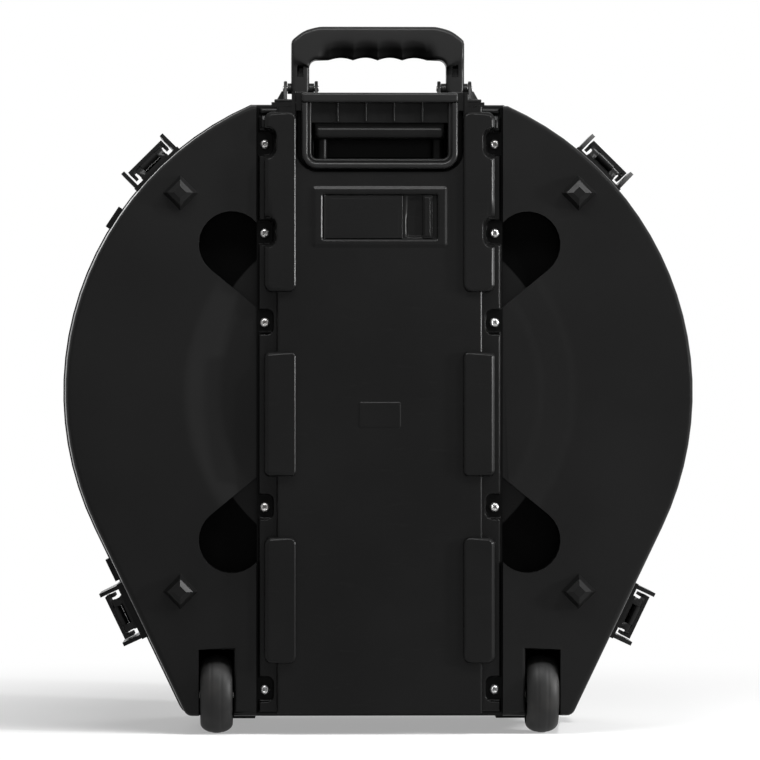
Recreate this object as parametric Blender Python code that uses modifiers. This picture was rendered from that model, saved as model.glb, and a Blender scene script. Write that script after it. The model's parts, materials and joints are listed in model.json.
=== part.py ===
"""Rolling case for cymbals, upright on its flat base with its back towards -Y.

Sizes are in metres. Case coordinates run from the parting plane of the two shells: x across, y from back to
front and z up from the ground. An empty called case_frame shifts them so that the case is centred in y.
"""

import math

import bmesh
import bpy
from mathutils import Matrix

CLEARANCE = 0.0003
# Joined pieces run this far into each other, and STAGGER keeps their faces out of one plane
LAP = 0.001
STAGGER = 0.0001
# Cutters run this far past what they cut
OVERCUT = 0.02

# Outline of both shells
CASE_RADIUS = 0.330
GROUND_GAP = 0.010
BASE_DROP = 0.340
TOP_HALF = 0.13302
BASE_HALF = 0.1917
CORNER_RADIUS = 0.018
LEAST_CORNER = 0.005

# Section of the shells
REAR_DEPTH = 0.140
FRONT_DEPTH = 0.120
WALL = 0.004
LIP_DEPTH = 0.008
LIP_STEP = 0.0015
DRAFT = 0.009
EDGE_RADIUS = 0.006
RIM_LAND = 0.008
RIM_DEPTH = 0.014
SEAL_INSET = 0.003
SEAL_WIDTH = 0.0028
SEAL_HEIGHT = 0.0026

# Relief of the shells
DISH_INNER = 0.161
DISH_OUTER = 0.202
DISH_DEPTH = 0.008
BUMPER_RIM_GAP = 0.0422
BUMPER_BASE = 0.0262
BUMPER_TIP = 0.0160
BUMPER_HEIGHT = 0.012
SOCKET_CLEARANCE = 0.003
TEAR_PLACE = 0.1512
TEAR_RADIUS = 0.0337
TEAR_TIP = 0.0868
TEAR_DEPTH = 0.025
SIDE_BITE = 0.0005
UPPER_KEY = 0.3254
LOWER_KEY = 0.1594
KEY_LENGTH = 0.025
KEY_HEIGHT = 0.0038
KEY_DEPTH = 0.014

# Trolley channel and its panel
CHANNEL_HALF = 0.126
LEDGE_DEPTH = 0.009
FLANGE_THICKNESS = 0.003
HOUSING_HALF = 0.099
HOUSING_DEPTH = 0.040
HOUSING_FLOOR = 0.034
PANEL_HALF = 0.104
PANEL_RISE = 0.006
PANEL_WALL = 0.0035
PANEL_FOOT = 0.022
PANEL_TOP_DROP = 0.011
HOOD_HALF = 0.090
HOOD_RISE = 0.0046
PAD_OUTER = 0.114
PAD_WIDTH = 0.029
PAD_RISE = 0.006
# Pads and screws, up from the panel's foot and down from its top
PADS_UP = ((0.0515, 0.1802), (0.2425, 0.3691))
PAD_DOWN = (0.1886, 0.0050)
SCREW_X = 0.1173
SCREWS_UP = (0.0239, 0.2103, 0.3992)
SCREWS_DOWN = (0.1284, 0.0375)
SCREW_RADIUS = 0.0025
SCREW_LENGTH = 0.010
SCREW_HEAD_RADIUS = 0.0048
SCREW_HEAD_HEIGHT = 0.003
SCREW_POCKET = 0.0125
PLATE_WIDTH = 0.043
PLATE_HEIGHT = 0.0265
PLATE_UP = 0.3048
PLATE_RISE = 0.0008

# Card frame
FRAME_HALF = 0.069
FRAME_HEIGHT = 0.0613
FRAME_GAP = 0.0184
FRAME_RISE = 0.0025
CARD_HALF = 0.0585
CARD_MARGIN = 0.0083
CARD_RECESS = 0.0050
CARD_BACKING = 0.0030
COVER_WIDTH = 0.0800
COVER_THICKNESS = 0.002
COVER_PIN_RADIUS = 0.0012
COVER_PIN_LENGTH = 0.003
FINGER_GAP = 0.0228
CATCH_WIDTH = 0.0095
CATCH_HEIGHT = 0.0030

# Tow handle
WELL_HALF = 0.0695
WELL_WALL = 0.003
WELL_DROP = 0.066
WELL_DEPTH = 0.0382
WELL_FLOOR = 0.010
WELL_TOP_DROP = 0.0005
BEAD_HALF = 0.080
BEAD_WIDTH = 0.0066
BEAD_DROP = 0.008
BEAD_RISE = 0.0055
BEAD_CORNER = 0.016
BEAD_LEDGE = 0.0018
GRIP_HALF = 0.0689
GRIP_SINK = 0.0227
GRIP_HEIGHT = 0.0468
GRIP_BAR_HALF = 0.066
GRIP_BAR_HEIGHT = 0.0130
GRIP_BAR_REACH = 0.004
GRIP_BOARD_LOW = 0.0163
GRIP_FACE_HALF = 0.0724
GRIP_LIP_HEIGHT = 0.0367
GRIP_LIP_REACH = 0.0055
GRIP_DEPTH = 0.030
GRIP_BACK_GAP = 0.0012
GRIP_BOARD_RISE = 0.0022
GRIP_GROOVE = 0.005
GRIP_RIB_COUNT = 4
GRIP_RIB_PITCH = 0.0288
GRIP_RIB_WIDTH = 0.002
GRIP_RIB_RISE = 0.005
TOW_X = 0.060
TOW_INSET = 0.025
TOW_TUBE_RADIUS = 0.007
TOW_TUBE_BORE = 0.0058
TOW_SOCKET = 0.015
TOW_END_GAP = 0.0011
GUIDE_RADIUS = 0.0095
GUIDE_SEAT = 0.007
FOOT_HEIGHT = 0.016
FOOT_HALF = 0.075
FOOT_FRONT = 0.012

# Carry handle
HANDLE_Y = -0.030
# Heights on the handle are above its pivot
PIVOT_RISE = 0.0155
HANDLE_HALF = 0.0905
HANDLE_HEIGHT = 0.0643
HANDLE_LEG = 0.019
OPENING_HEIGHT = 0.0298
HANDLE_SHOULDER = 0.0295
HANDLE_SHOULDER_DROP = 0.0135
SHOULDER_SHAPE = ((1, 0), (0.45, 0.3), (0.03, 1))
HANDLE_DEPTH = 0.026
HANDLE_LEG_DEPTH = 0.018
HANDLE_LEG_HEIGHT = 0.0255
LEG_ROUND_START = math.radians(6)
HANDLE_WINDOW = (0.006, 0.009)
WINDOW_HEIGHT = 0.0165
FINGER_PITCH = 0.0258
FINGER_COUNT = 4
FINGER_RISE = 0.0026
FINGER_EASE = 0.2
FINGER_STEPS = 6
HANDLE_CORNER = 0.006
PIN_RADIUS = 0.003
SEAT_DEPTH = 0.044
SEAT_MARGIN = 0.003
BRACKET_PLATE = 0.003
EAR_INNER = 0.0625
EAR_OUTER = 0.0947
EAR_THICKNESS = 0.0035
EAR_RADIUS = 0.008
EAR_DEPTH = 0.028
BRACKET_DEPTH = 0.038
GUSSET_REACH = 0.0098

# Wheels
WHEEL_INSET = 0.0247
WHEEL_RADIUS = 0.040
WHEEL_WIDTH = 0.033
WHEEL_BACK = 0.011
TYRE_BORE = 0.026
TREAD_CURVE = 0.62
HUB_WIDTH = 0.030
HUB_RIM = 0.003
HUB_RECESS = 0.006
HUB_BOSS = 0.009
AXLE_RADIUS = 0.004
WELL_GAP = 0.0015
WHEEL_GAP = 0.007
WELL_SIDE = 0.008
AXLE_SEAT = 0.006

# Feet of the front shell
FOOT_INSET = 0.0417
FRONT_FOOT_WIDTH = 0.052
FRONT_FOOT_DEPTH = 0.030
FRONT_FOOT_SETBACK = 0.014

# Foam and dividers. The round pocket is the largest that leaves this much foam around it
FOAM_TOP = 0.0035
FOAM_BASE = 0.0095
FOAM_SIDE = 0.0155
POCKET_SIDES = 48
REAR_FOAM_FLOOR = 0.056
LID_FOAM_FLOOR = 0.096
RIM_FOAM_GAP = 0.001
DIVIDER_SLACK = 0.0025
DIVIDER_THICKNESS = 0.006
DIVIDER_COUNT = 3

# Latches
UPPER_LATCH = 0.2575
LOWER_LATCH = 0.1126
# How far the latches' own ground stands out of the rim, upper and lower
LATCH_LIFTS = (0.0010, 0.0045)
LATCH_SEAT_HALF = 0.0315
LATCH_SEAT_DROP = 0.0015
LATCH_SEAT_ROOT = 0.0120
GUARD_SPACING = 0.0565
GUARD_THICKNESS = 0.0042
GUARD_HEIGHT = 0.0195
GUARD_REAR = (0.003, 0.042)
GUARD_FRONT = (0.003, 0.034)
GUARD_SLOPE = 0.008
LATCH_BASE_HALF = 0.0185
LATCH_BASE_SPAN = (-0.040, -0.006)
LATCH_BASE_THICKNESS = 0.0025
LATCH_EAR_OFFSET = 0.0105
LATCH_EAR_THICKNESS = 0.003
LATCH_EAR_RADIUS = 0.0034
LATCH_EAR_FLARE = 0.002
LATCH_PIN_Y = -0.032
LATCH_PIN_HEIGHT = 0.0083
LATCH_PIN_RADIUS = 0.0018
LEVER_HALF = 0.0242
LEVER_SPAN = (-0.034, 0.020)
LEVER_TOP = 0.0155
LEVER_PLATE = 0.0035
LEVER_BARREL_RADIUS = 0.0041
LEVER_FLANGE = 0.0035
LEVER_FLANGE_LOW = 0.0050
LEVER_FLANGE_END = 0.010
LEVER_NOSE_HALF = 0.012
LEVER_NOSE_LENGTH = 0.0045
LEVER_NOSE_LOW = 0.0070
KEEPER_HALF = 0.012
KEEPER_SPAN = (0.004, 0.0145)
KEEPER_TOP = 0.0064
TRIGGER_HALF = 0.0085
TRIGGER_SPAN = (-0.014, 0.0112)
TRIGGER_RISE = 0.0010
TRIGGER_AXIS = -0.012
TRIGGER_BAR_RADIUS = 0.0014
TRIGGER_BAR_HALF = 0.0115
TRIGGER_SWING = math.radians(18)
SLOT_GAP = 0.0006

CENTRE_Z = GROUND_GAP + BASE_DROP
TOP_RISE = math.sqrt(CASE_RADIUS ** 2 - TOP_HALF ** 2)
FLAT_TOP = CENTRE_Z + TOP_RISE
# The straight flanks run from the round sides to the corners of the base
CORNER_DROP = BASE_DROP - CORNER_RADIUS
CORNER_ARM = CASE_RADIUS - CORNER_RADIUS
FLANK_ANGLE = (math.atan2(CORNER_DROP, BASE_HALF)
               - math.acos(CORNER_ARM / math.hypot(CORNER_DROP, BASE_HALF)))
RIM_ARC = CASE_RADIUS * (math.pi / 2 + FLANK_ANGLE)
RIM_LENGTH = RIM_ARC + (CORNER_DROP - CORNER_ARM * math.sin(FLANK_ANGLE)) / math.cos(FLANK_ANGLE)
KEY_PLACES = (UPPER_KEY, RIM_LENGTH - LOWER_KEY)
LATCH_PLACES = (UPPER_LATCH, RIM_LENGTH - LOWER_LATCH)
BUMPER_PLACE = (CASE_RADIUS - BUMPER_RIM_GAP) * math.sqrt(0.5)
WHEEL_X = BASE_HALF - WHEEL_INSET
FOOT_X = BASE_HALF - FOOT_INSET
FOAM_SPAN = TOP_RISE + BASE_DROP - RIM_LAND * 2
POCKET_RADIUS = min(CASE_RADIUS - RIM_LAND - FOAM_SIDE, (FOAM_SPAN - FOAM_TOP - FOAM_BASE) / 2)
POCKET_Z = FLAT_TOP - RIM_LAND - FOAM_TOP - POCKET_RADIUS
PANEL_TOP = FLAT_TOP - PANEL_TOP_DROP
HOOD_TOP = FLAT_TOP + HOOD_RISE
PAD_SPANS = [(PANEL_FOOT + low, PANEL_FOOT + high) for low, high in PADS_UP]
PAD_SPANS += [(PANEL_TOP - PAD_DOWN[0], PANEL_TOP - PAD_DOWN[1])]
SCREW_HEIGHTS = [PANEL_FOOT + up for up in SCREWS_UP] + [PANEL_TOP - down for down in SCREWS_DOWN]
PLATE_CENTRE = PANEL_FOOT + PLATE_UP
WELL_BOTTOM = FLAT_TOP - WELL_DROP
WELL_TOP = FLAT_TOP - WELL_TOP_DROP
BEAD_BOTTOM = WELL_BOTTOM - BEAD_DROP
FRAME_HIGH = BEAD_BOTTOM - FRAME_GAP
FRAME_LOW = FRAME_HIGH - FRAME_HEIGHT
GRIP_LOW = WELL_BOTTOM + GRIP_SINK
GRIP_FACE_LOW = GRIP_LOW + GRIP_BOARD_LOW
GRIP_LIP_LOW = GRIP_LOW + GRIP_LIP_HEIGHT
HANDLE_PIVOT = FLAT_TOP + PIVOT_RISE
BRACKET_LOW = FLAT_TOP + CLEARANCE
BRACKET_TOP = BRACKET_LOW + BRACKET_PLATE
REAR_REACH = REAR_DEPTH + BUMPER_HEIGHT
FRONT_REACH = FRONT_DEPTH + DISH_DEPTH
PARTING_Y = (REAR_REACH - FRONT_REACH) / 2
PANEL_FACE = -(REAR_DEPTH + PANEL_RISE)
LEDGE_FACE = -(REAR_DEPTH - LEDGE_DEPTH)
FLANGE_BACK = LEDGE_FACE - CLEARANCE
FLANGE_FACE = FLANGE_BACK - FLANGE_THICKNESS
HOUSING_FACE = -(REAR_DEPTH - HOUSING_DEPTH)
TOW_Y = PANEL_FACE + TOW_INSET

parts = bpy.data.collections.new("cymbal_case")
tools = bpy.data.collections.new("cutters")


def clear_scene():
    for old in list(bpy.data.objects):
        bpy.data.objects.remove(old)
    bpy.context.scene.collection.children.link(parts)
    bpy.context.scene.collection.children.link(tools)


def make_material(name, colour, roughness, metallic=0.0):
    material = bpy.data.materials.new(name)
    material.use_nodes = True
    shader = material.node_tree.nodes["Principled BSDF"]
    shader.inputs["Base Color"].default_value = (*colour, 1.0)
    shader.inputs["Roughness"].default_value = roughness
    shader.inputs["Metallic"].default_value = metallic
    return material


def make_empty(name, location=(0, 0, 0), rotation=(0, 0, 0), parent=None):
    empty = bpy.data.objects.new(name, None)
    parts.objects.link(empty)
    empty.location = location
    empty.rotation_euler = rotation
    empty.parent = parent
    return empty


def add_part(name, mesh, material, parent):
    part = bpy.data.objects.new(name, mesh)
    if not mesh.materials:
        mesh.materials.append(material)
    parts.objects.link(part)
    part.parent = parent
    return part


def shape_with(part, tool, operation):
    """Joins a tool's mesh or object to the part, or cuts it away, in the part's own coordinates."""
    if isinstance(tool, bpy.types.Mesh):
        tool = bpy.data.objects.new(tool.name, tool)
    if tool.name not in tools.objects:
        tools.objects.link(tool)
    tool.hide_render = True
    tool.display_type = "WIRE"
    tool.parent = part.parent
    modifier = part.modifiers.new(tool.name, "BOOLEAN")
    modifier.operation = operation
    modifier.object = tool
    return part


def join(part, *more):
    for tool in more:
        shape_with(part, tool, "UNION")
    return part


def cut(part, *more):
    for tool in more:
        shape_with(part, tool, "DIFFERENCE")
    return part


def mesh_from(name, bm, smooth=False):
    bmesh.ops.recalc_face_normals(bm, faces=bm.faces)
    mesh = bpy.data.meshes.new(name)
    bm.to_mesh(mesh)
    bm.free()
    if smooth:
        mesh.shade_smooth()
        mesh.set_sharp_from_angle(angle=math.radians(40))
    return mesh


def box(name, low, high):
    bm = bmesh.new()
    bmesh.ops.create_cube(bm, size=1.0)
    size = [b - a for a, b in zip(low, high)]
    centre = [(a + b) / 2 for a, b in zip(low, high)]
    bmesh.ops.scale(bm, vec=size, verts=bm.verts)
    bmesh.ops.translate(bm, vec=centre, verts=bm.verts)
    return mesh_from(name, bm)


AXIS_TURNS = {
    "X": Matrix(((0, 0, 1), (1, 0, 0), (0, 1, 0))),
    "Y": Matrix(((1, 0, 0), (0, 0, 1), (0, -1, 0))),
    "Z": Matrix.Identity(3),
}


def rod(name, radius, axis, low, high, across, sides=16, tip_radius=None):
    """A cylinder or cone from low to high along an axis, at across: its other two coordinates in XYZ order."""
    bm = bmesh.new()
    bmesh.ops.create_cone(
        bm, cap_ends=True, segments=sides, radius1=radius,
        radius2=radius if tip_radius is None else tip_radius, depth=high - low,
    )
    bmesh.ops.transform(bm, matrix=AXIS_TURNS[axis].to_4x4(), verts=bm.verts)
    middle = (low + high) / 2
    spot = {"X": (middle, *across), "Y": (across[0], middle, across[1]), "Z": (*across, middle)}[axis]
    bmesh.ops.translate(bm, vec=spot, verts=bm.verts)
    return mesh_from(name, bm, smooth=True)


def arc(centre, radius, start, end, steps):
    """Points on an arc, in radians, both ends included."""
    return [
        (
            centre[0] + radius * math.cos(start + (end - start) * k / steps),
            centre[1] + radius * math.sin(start + (end - start) * k / steps),
        )
        for k in range(steps + 1)
    ]


def prism(name, points, axis, low, high):
    """A flat outline made thick along an axis. Points are (x, z) along Y, (y, z) along X and (x, y) along Z."""
    curve = bpy.data.curves.new(name, "CURVE")
    curve.dimensions = "2D"
    curve.fill_mode = "BOTH"
    curve.extrude = (high - low) / 2
    spline = curve.splines.new("POLY")
    spline.points.add(len(points) - 1)
    for point, (u, v) in zip(spline.points, points):
        point.co = (u, v, 0, 1)
    spline.use_cyclic_u = True
    drawn = bpy.data.objects.new(name, curve)
    tools.objects.link(drawn)
    graph = bpy.context.evaluated_depsgraph_get()
    mesh = bpy.data.meshes.new_from_object(drawn.evaluated_get(graph))
    bpy.data.objects.remove(drawn)
    bpy.data.curves.remove(curve)
    middle = (low + high) / 2
    turn = {
        "X": Matrix(((0, 0, 1), (1, 0, 0), (0, 1, 0))),
        "Y": Matrix(((1, 0, 0), (0, 0, -1), (0, 1, 0))),
        "Z": Matrix.Identity(3),
    }[axis].to_4x4()
    shift = {"X": (middle, 0, 0), "Y": (0, middle, 0), "Z": (0, 0, middle)}[axis]
    bm = bmesh.new()
    bm.from_mesh(mesh)
    bpy.data.meshes.remove(mesh)
    bmesh.ops.remove_doubles(bm, verts=bm.verts, dist=0.00001)
    bmesh.ops.dissolve_limit(bm, angle_limit=0.001, verts=bm.verts, edges=bm.edges)
    bmesh.ops.transform(bm, matrix=Matrix.Translation(shift) @ turn, verts=bm.verts)
    return mesh_from(name, bm)


def loft(name, rings, ring_closed=False):
    """Skins a stack of like outlines. Its ends are capped, or joined to each other when ring_closed."""
    bm = bmesh.new()
    loops = [[bm.verts.new(point) for point in ring] for ring in rings]
    count = len(loops[0])
    pairs = list(zip(loops, loops[1:]))
    if ring_closed:
        pairs.append((loops[-1], loops[0]))
    for first, second in pairs:
        for k in range(count):
            n = (k + 1) % count
            bm.faces.new((first[k], first[n], second[n], second[k]))
    if not ring_closed:
        bm.faces.new(loops[0])
        bm.faces.new(loops[-1])
    return mesh_from(name, bm)


def turned(name, profile, steps, closed=True):
    """An object whose profile, (radius, height) down the outer side, is turned about Z by a Screw modifier."""
    mesh = bpy.data.meshes.new(name)
    count = len(profile)
    edges = [(k, k + 1) for k in range(count - 1)]
    if closed:
        edges.append((count - 1, 0))
    mesh.from_pydata([(r, 0, h) for r, h in profile], edges, [])
    made = bpy.data.objects.new(name, mesh)
    screw = made.modifiers.new("turn", "SCREW")
    screw.axis = "Z"
    screw.steps = steps
    screw.render_steps = steps
    screw.use_merge_vertices = True
    screw.merge_threshold = 0.0001
    screw.use_smooth_shade = True
    return made


def add_turned(name, profile, steps, material, parent, rotation=(0, 0, 0), location=(0, 0, 0), closed=True):
    part = turned(name, profile, steps, closed)
    part.data.materials.append(material)
    parts.objects.link(part)
    part.parent = parent
    part.rotation_euler = rotation
    part.location = location
    return part


# Outline and section of the shells


def outline(inset, arc_steps=23, corner_steps=4):
    """The D outline moved in by inset, as (x, z), clockwise seen from the back, from its top right corner."""
    radius = CASE_RADIUS - inset
    top, base = TOP_RISE - inset, BASE_DROP - inset
    right = arc((0, 0), radius, math.asin(top / radius), -FLANK_ANGLE, arc_steps)
    corner = max(CORNER_RADIUS - inset, LEAST_CORNER)
    centre_z = -base + corner
    centre_x = (radius - corner + centre_z * math.sin(FLANK_ANGLE)) / math.cos(FLANK_ANGLE)
    right += arc((centre_x, centre_z), corner, -FLANK_ANGLE, -math.pi / 2, corner_steps)
    left = [(-x, z) for x, z in reversed(right)]
    return [(x, z + CENTRE_Z) for x, z in right + left]


def outline_ring(inset, y):
    return [(x, y, z) for x, z in outline(inset)]


def outer_inset(depth, shell_depth):
    """How far the drafted outside of a shell lies inside the outline, at a depth behind the lip."""
    start = LIP_DEPTH + LIP_STEP
    return LIP_STEP + (DRAFT - LIP_STEP) * (depth - start) / (shell_depth - EDGE_RADIUS - start)


def inner_inset(depth, shell_depth):
    share = (depth - RIM_DEPTH) / (shell_depth - EDGE_RADIUS - RIM_DEPTH)
    return RIM_LAND + (DRAFT + WALL - RIM_LAND) * max(share, 0)


def outer_section(depth):
    section = [(0, CLEARANCE / 2), (0, LIP_DEPTH), (LIP_STEP, LIP_DEPTH + LIP_STEP)]
    section += [
        (DRAFT + EDGE_RADIUS - across, depth - EDGE_RADIUS + along)
        for across, along in arc((0, 0), EDGE_RADIUS, 0, math.pi / 2, 3)
    ]
    return section


def inner_section(depth):
    radius = EDGE_RADIUS - WALL
    section = [(RIM_LAND, -0.001), (RIM_LAND, RIM_DEPTH)]
    section += [
        (DRAFT + WALL + radius - across, depth - EDGE_RADIUS + along)
        for across, along in arc((0, 0), radius, 0, math.pi / 2, 2)
    ]
    return section


def shell_block(name, section, side):
    return loft(name, [outline_ring(inset, side * depth) for inset, depth in section])


def seal_band(name, margin):
    """The rubber strip's ring, or with a margin the groove that holds it."""
    outer, inner = SEAL_INSET - margin, SEAL_INSET + SEAL_WIDTH + margin
    floor = -(CLEARANCE / 2 + SEAL_HEIGHT + margin)
    mouth = -CLEARANCE / 2 if margin == 0 else RIM_FOAM_GAP
    rings = [(outer, floor), (outer, mouth), (inner, mouth), (inner, floor)]
    return loft(name, [outline_ring(inset, y) for inset, y in rings], ring_closed=True)


def s_curve(inner, outer, low, high, steps=4):
    """Points (radius, height) from the outer radius at height low in to the inner radius at height high."""
    points = []
    for k in range(steps + 1):
        share = k / steps
        ease = share * share * (3 - 2 * share)
        points.append((outer + (inner - outer) * share, low + (high - low) * ease))
    return points


def facing(tool, side):
    """Turns a lathed tool so that its own +Z points to the back (-1) or to the front (1)."""
    tool.rotation_euler = (math.pi / 2, 0, 0) if side < 0 else (-math.pi / 2, 0, 0)
    tool.location = (0, 0, CENTRE_Z)
    return tool


def channel_tools(name, grow):
    reach = REAR_DEPTH + 0.05
    ledge = box(
        name + "_ledge", (-CHANNEL_HALF - grow, -reach, -0.05), (CHANNEL_HALF + grow, LEDGE_FACE + grow, 0.75)
    )
    housing = box(
        name + "_housing",
        (-HOUSING_HALF - grow, -reach - 0.001, HOUSING_FLOOR - grow),
        (HOUSING_HALF + grow, HOUSING_FACE + grow, 0.76),
    )
    return ledge, housing


def teardrop_points(grow):
    """The upper right pocket's outline about the case's centre: a bulb drawn out to a tip on the channel."""
    radius = TEAR_RADIUS + grow
    inner = CHANNEL_HALF - SIDE_BITE - grow
    dx, dz = TEAR_PLACE - CHANNEL_HALF, TEAR_PLACE - TEAR_TIP
    bearing = math.atan2(dz, dx) - math.asin(TEAR_RADIUS / math.hypot(dx, dz))
    normal = bearing - math.pi / 2
    meet = math.pi - math.acos((TEAR_PLACE - inner) / radius)
    points = arc((TEAR_PLACE, TEAR_PLACE), radius, normal, meet, 14)
    across = (inner - CHANNEL_HALF - grow * math.cos(normal)) / math.cos(bearing)
    points.append((inner, TEAR_TIP + grow * math.sin(normal) + across * math.sin(bearing)))
    return points


def teardrop_tools(name, grow):
    made = []
    floor = -REAR_DEPTH + TEAR_DEPTH + grow
    for sx, sz, label in ((1, 1, "ur"), (-1, 1, "ul"), (1, -1, "lr"), (-1, -1, "ll")):
        points = [(sx * x, CENTRE_Z + sz * z) for x, z in teardrop_points(grow)]
        made.append(prism(f"{name}_{label}", points, "Y", -REAR_DEPTH - OVERCUT, floor))
    return made


def wheel_centre_y():
    return -(REAR_DEPTH + WHEEL_BACK - WHEEL_RADIUS)


def well_tools(name, grow, side_grow):
    """Two wheel wells, open to the back and below."""
    radius = WHEEL_RADIUS + WHEEL_GAP + grow
    y, z = wheel_centre_y(), WHEEL_RADIUS
    points = arc((y, z), radius, math.pi / 2, 0, 8)
    points += [(y + radius, -0.06), (-REAR_DEPTH - 0.06, -0.06), (-REAR_DEPTH - 0.06, z + radius)]
    half = WHEEL_WIDTH / 2 + WELL_GAP + side_grow
    return [
        prism(f"{name}_{label}", points, "X", side * WHEEL_X - half, side * WHEEL_X + half)
        for side, label in ((-1, "left"), (1, "right"))
    ]


def bumper_tool(name, x, z, y_root, y_tip, margin=0.0):
    """A four-sided pyramid that stands on a corner, wide at its root and narrow at its tip."""
    root = BUMPER_BASE * math.sqrt(0.5) + margin
    tip = BUMPER_TIP * math.sqrt(0.5) + margin
    if y_root < y_tip:
        return rod(name, root, "Y", y_root, y_tip, (x, z), 4, tip)
    return rod(name, tip, "Y", y_tip, y_root, (x, z), 4, root)


def bumper_places():
    for sx, sz, label in ((1, 1, "ur"), (-1, 1, "ul"), (1, -1, "lr"), (-1, -1, "ll")):
        yield label, sx * BUMPER_PLACE, CENTRE_Z + sz * BUMPER_PLACE


# Places along the rim: each has a frame with X along the rim, Y to the front and Z out of the case


def rim_spot(along, side, lift=0.0):
    """Location and rotation at a distance down the rim from its highest point, lift metres out of it."""
    angle = max(math.pi / 2 - along / CASE_RADIUS, -FLANK_ANGLE)
    past = max(along - RIM_ARC, 0)
    x = (CASE_RADIUS + lift) * math.cos(angle) - past * math.sin(FLANK_ANGLE)
    z = (CASE_RADIUS + lift) * math.sin(angle) - past * math.cos(FLANK_ANGLE)
    return (side * x, 0, CENTRE_Z + z), (0, side * (math.pi / 2 - angle), 0)


def latch_places():
    for level, along, lift in zip(("upper", "lower"), LATCH_PLACES, LATCH_LIFTS):
        for side, label in ((-1, "left"), (1, "right")):
            yield f"{level}_{label}", *rim_spot(along, side, lift)


def placed(mesh, location, rotation):
    """Moves a mesh that was drawn in a latch's or a lug's own frame into case coordinates."""
    turn = Matrix.Rotation(rotation[1], 4, "Y")
    mesh.transform(Matrix.Translation(location) @ turn)
    return mesh


def add_latch_seat(shell, name, location, rotation, side, guard_span):
    """Cuts the flat for one latch across a shell's rim and stands the two guard ribs on it."""
    near, far = guard_span
    low, high = sorted((side * CLEARANCE / 2, side * (far + 0.002)))
    half = LATCH_SEAT_HALF
    flat = -LATCH_SEAT_DROP
    sunk = box(f"{name}_flat", (-half, low - LAP * 3, flat - STAGGER * 2), (half, high + LAP * 3, GUARD_HEIGHT))
    cut(shell, placed(sunk, location, rotation))
    made = [box(f"{name}_seat", (-half + STAGGER, low, -LATCH_SEAT_ROOT), (half - STAGGER, high, flat))]
    for hand in (-1, 1):
        centre = hand * GUARD_SPACING / 2
        root = -LATCH_SEAT_ROOT * 0.8
        points = [
            (side * near, root), (side * near, GUARD_HEIGHT), (side * (far - GUARD_SLOPE), GUARD_HEIGHT),
            (side * far, 0.002), (side * far, root),
        ]
        made.append(prism(
            f"{name}_guard_{'a' if hand < 0 else 'b'}", points, "X",
            centre - GUARD_THICKNESS / 2, centre + GUARD_THICKNESS / 2,
        ))
    join(shell, *(placed(mesh, location, rotation) for mesh in made))


def key_tools(name, side):
    """Two low lugs on the left of the rim that key the lid, so that it goes on one way round."""
    made = []
    for along, label in zip(KEY_PLACES, ("upper", "lower")):
        low, high = sorted((side * CLEARANCE / 2, side * KEY_DEPTH))
        mesh = box(f"{name}_{label}", (-KEY_LENGTH / 2, low, -WALL), (KEY_LENGTH / 2, high, KEY_HEIGHT))
        made.append(placed(mesh, *rim_spot(along, -1)))
    return made


# The two shells


def build_rear_shell(frame, plastic):
    shell = add_part("rear_shell", shell_block("rear_shell", outer_section(REAR_DEPTH), -1), plastic, frame)
    dish_face = REAR_DEPTH - DISH_DEPTH
    dish = [(0, REAR_DEPTH + 0.02), (DISH_OUTER, REAR_DEPTH + 0.02)]
    dish += s_curve(DISH_INNER, DISH_OUTER, REAR_DEPTH, dish_face) + [(0, dish_face)]
    cut(shell, facing(turned("dish", dish, 64, closed=False), -1))
    for label, x, z in bumper_places():
        join(shell, bumper_tool(f"bumper_{label}", x, z, -REAR_DEPTH + 0.001, -REAR_REACH))
    for label, location, rotation in latch_places():
        add_latch_seat(shell, f"rear_{label}", location, rotation, -1, GUARD_REAR)
    join(shell, *key_tools("rear_key", -1))
    for hand in (-1, 1):
        outside = EAR_OUTER + EAR_THICKNESS + GUSSET_REACH + SEAT_MARGIN
        low, high = sorted((hand * (EAR_INNER - SEAT_MARGIN), hand * outside))
        join(shell, box(
            f"handle_seat_{hand}", (low, HANDLE_Y - SEAT_DEPTH / 2, FLAT_TOP - WALL * 2),
            (high, HANDLE_Y + SEAT_DEPTH / 2, FLAT_TOP),
        ))
    cut(shell, *channel_tools("channel", 0.0), *teardrop_tools("teardrop", 0.0))
    cut(shell, *well_tools("well", 0.0, 0.0))

    cavity = bpy.data.objects.new("rear_cavity", shell_block("rear_cavity", inner_section(REAR_DEPTH), -1))
    tools.objects.link(cavity)
    cavity.parent = frame
    dish = [(0, REAR_DEPTH + 0.02), (DISH_OUTER + WALL, REAR_DEPTH + 0.02)]
    dish += s_curve(DISH_INNER, DISH_OUTER + WALL, REAR_DEPTH - WALL + 0.001, dish_face - WALL)
    dish += [(0, dish_face - WALL)]
    cut(cavity, facing(turned("dish_core", dish, 64, closed=False), -1))
    cut(cavity, *channel_tools("channel_core", WALL), *teardrop_tools("teardrop_core", WALL))
    cut(cavity, *well_tools("well_core", WALL, WELL_SIDE))
    cut(shell, cavity, seal_band("seal_groove", CLEARANCE))
    for hand, x in ((-1, -WHEEL_X), (1, WHEEL_X)):
        reach = WHEEL_WIDTH / 2 + WELL_GAP + AXLE_SEAT
        cut(shell, rod(f"axle_hole_{hand}", AXLE_RADIUS + CLEARANCE, "X", x - reach - CLEARANCE,
                       x + reach + CLEARANCE, (wheel_centre_y(), WHEEL_RADIUS), 12))
        for k, z in enumerate(SCREW_HEIGHTS):
            cut(shell, rod(f"screw_hole_{hand}_{k}", SCREW_RADIUS + CLEARANCE, "Y", LEDGE_FACE - 0.002,
                           LEDGE_FACE + WALL + 0.004, (hand * SCREW_X, z), 8))
    return shell


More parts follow.
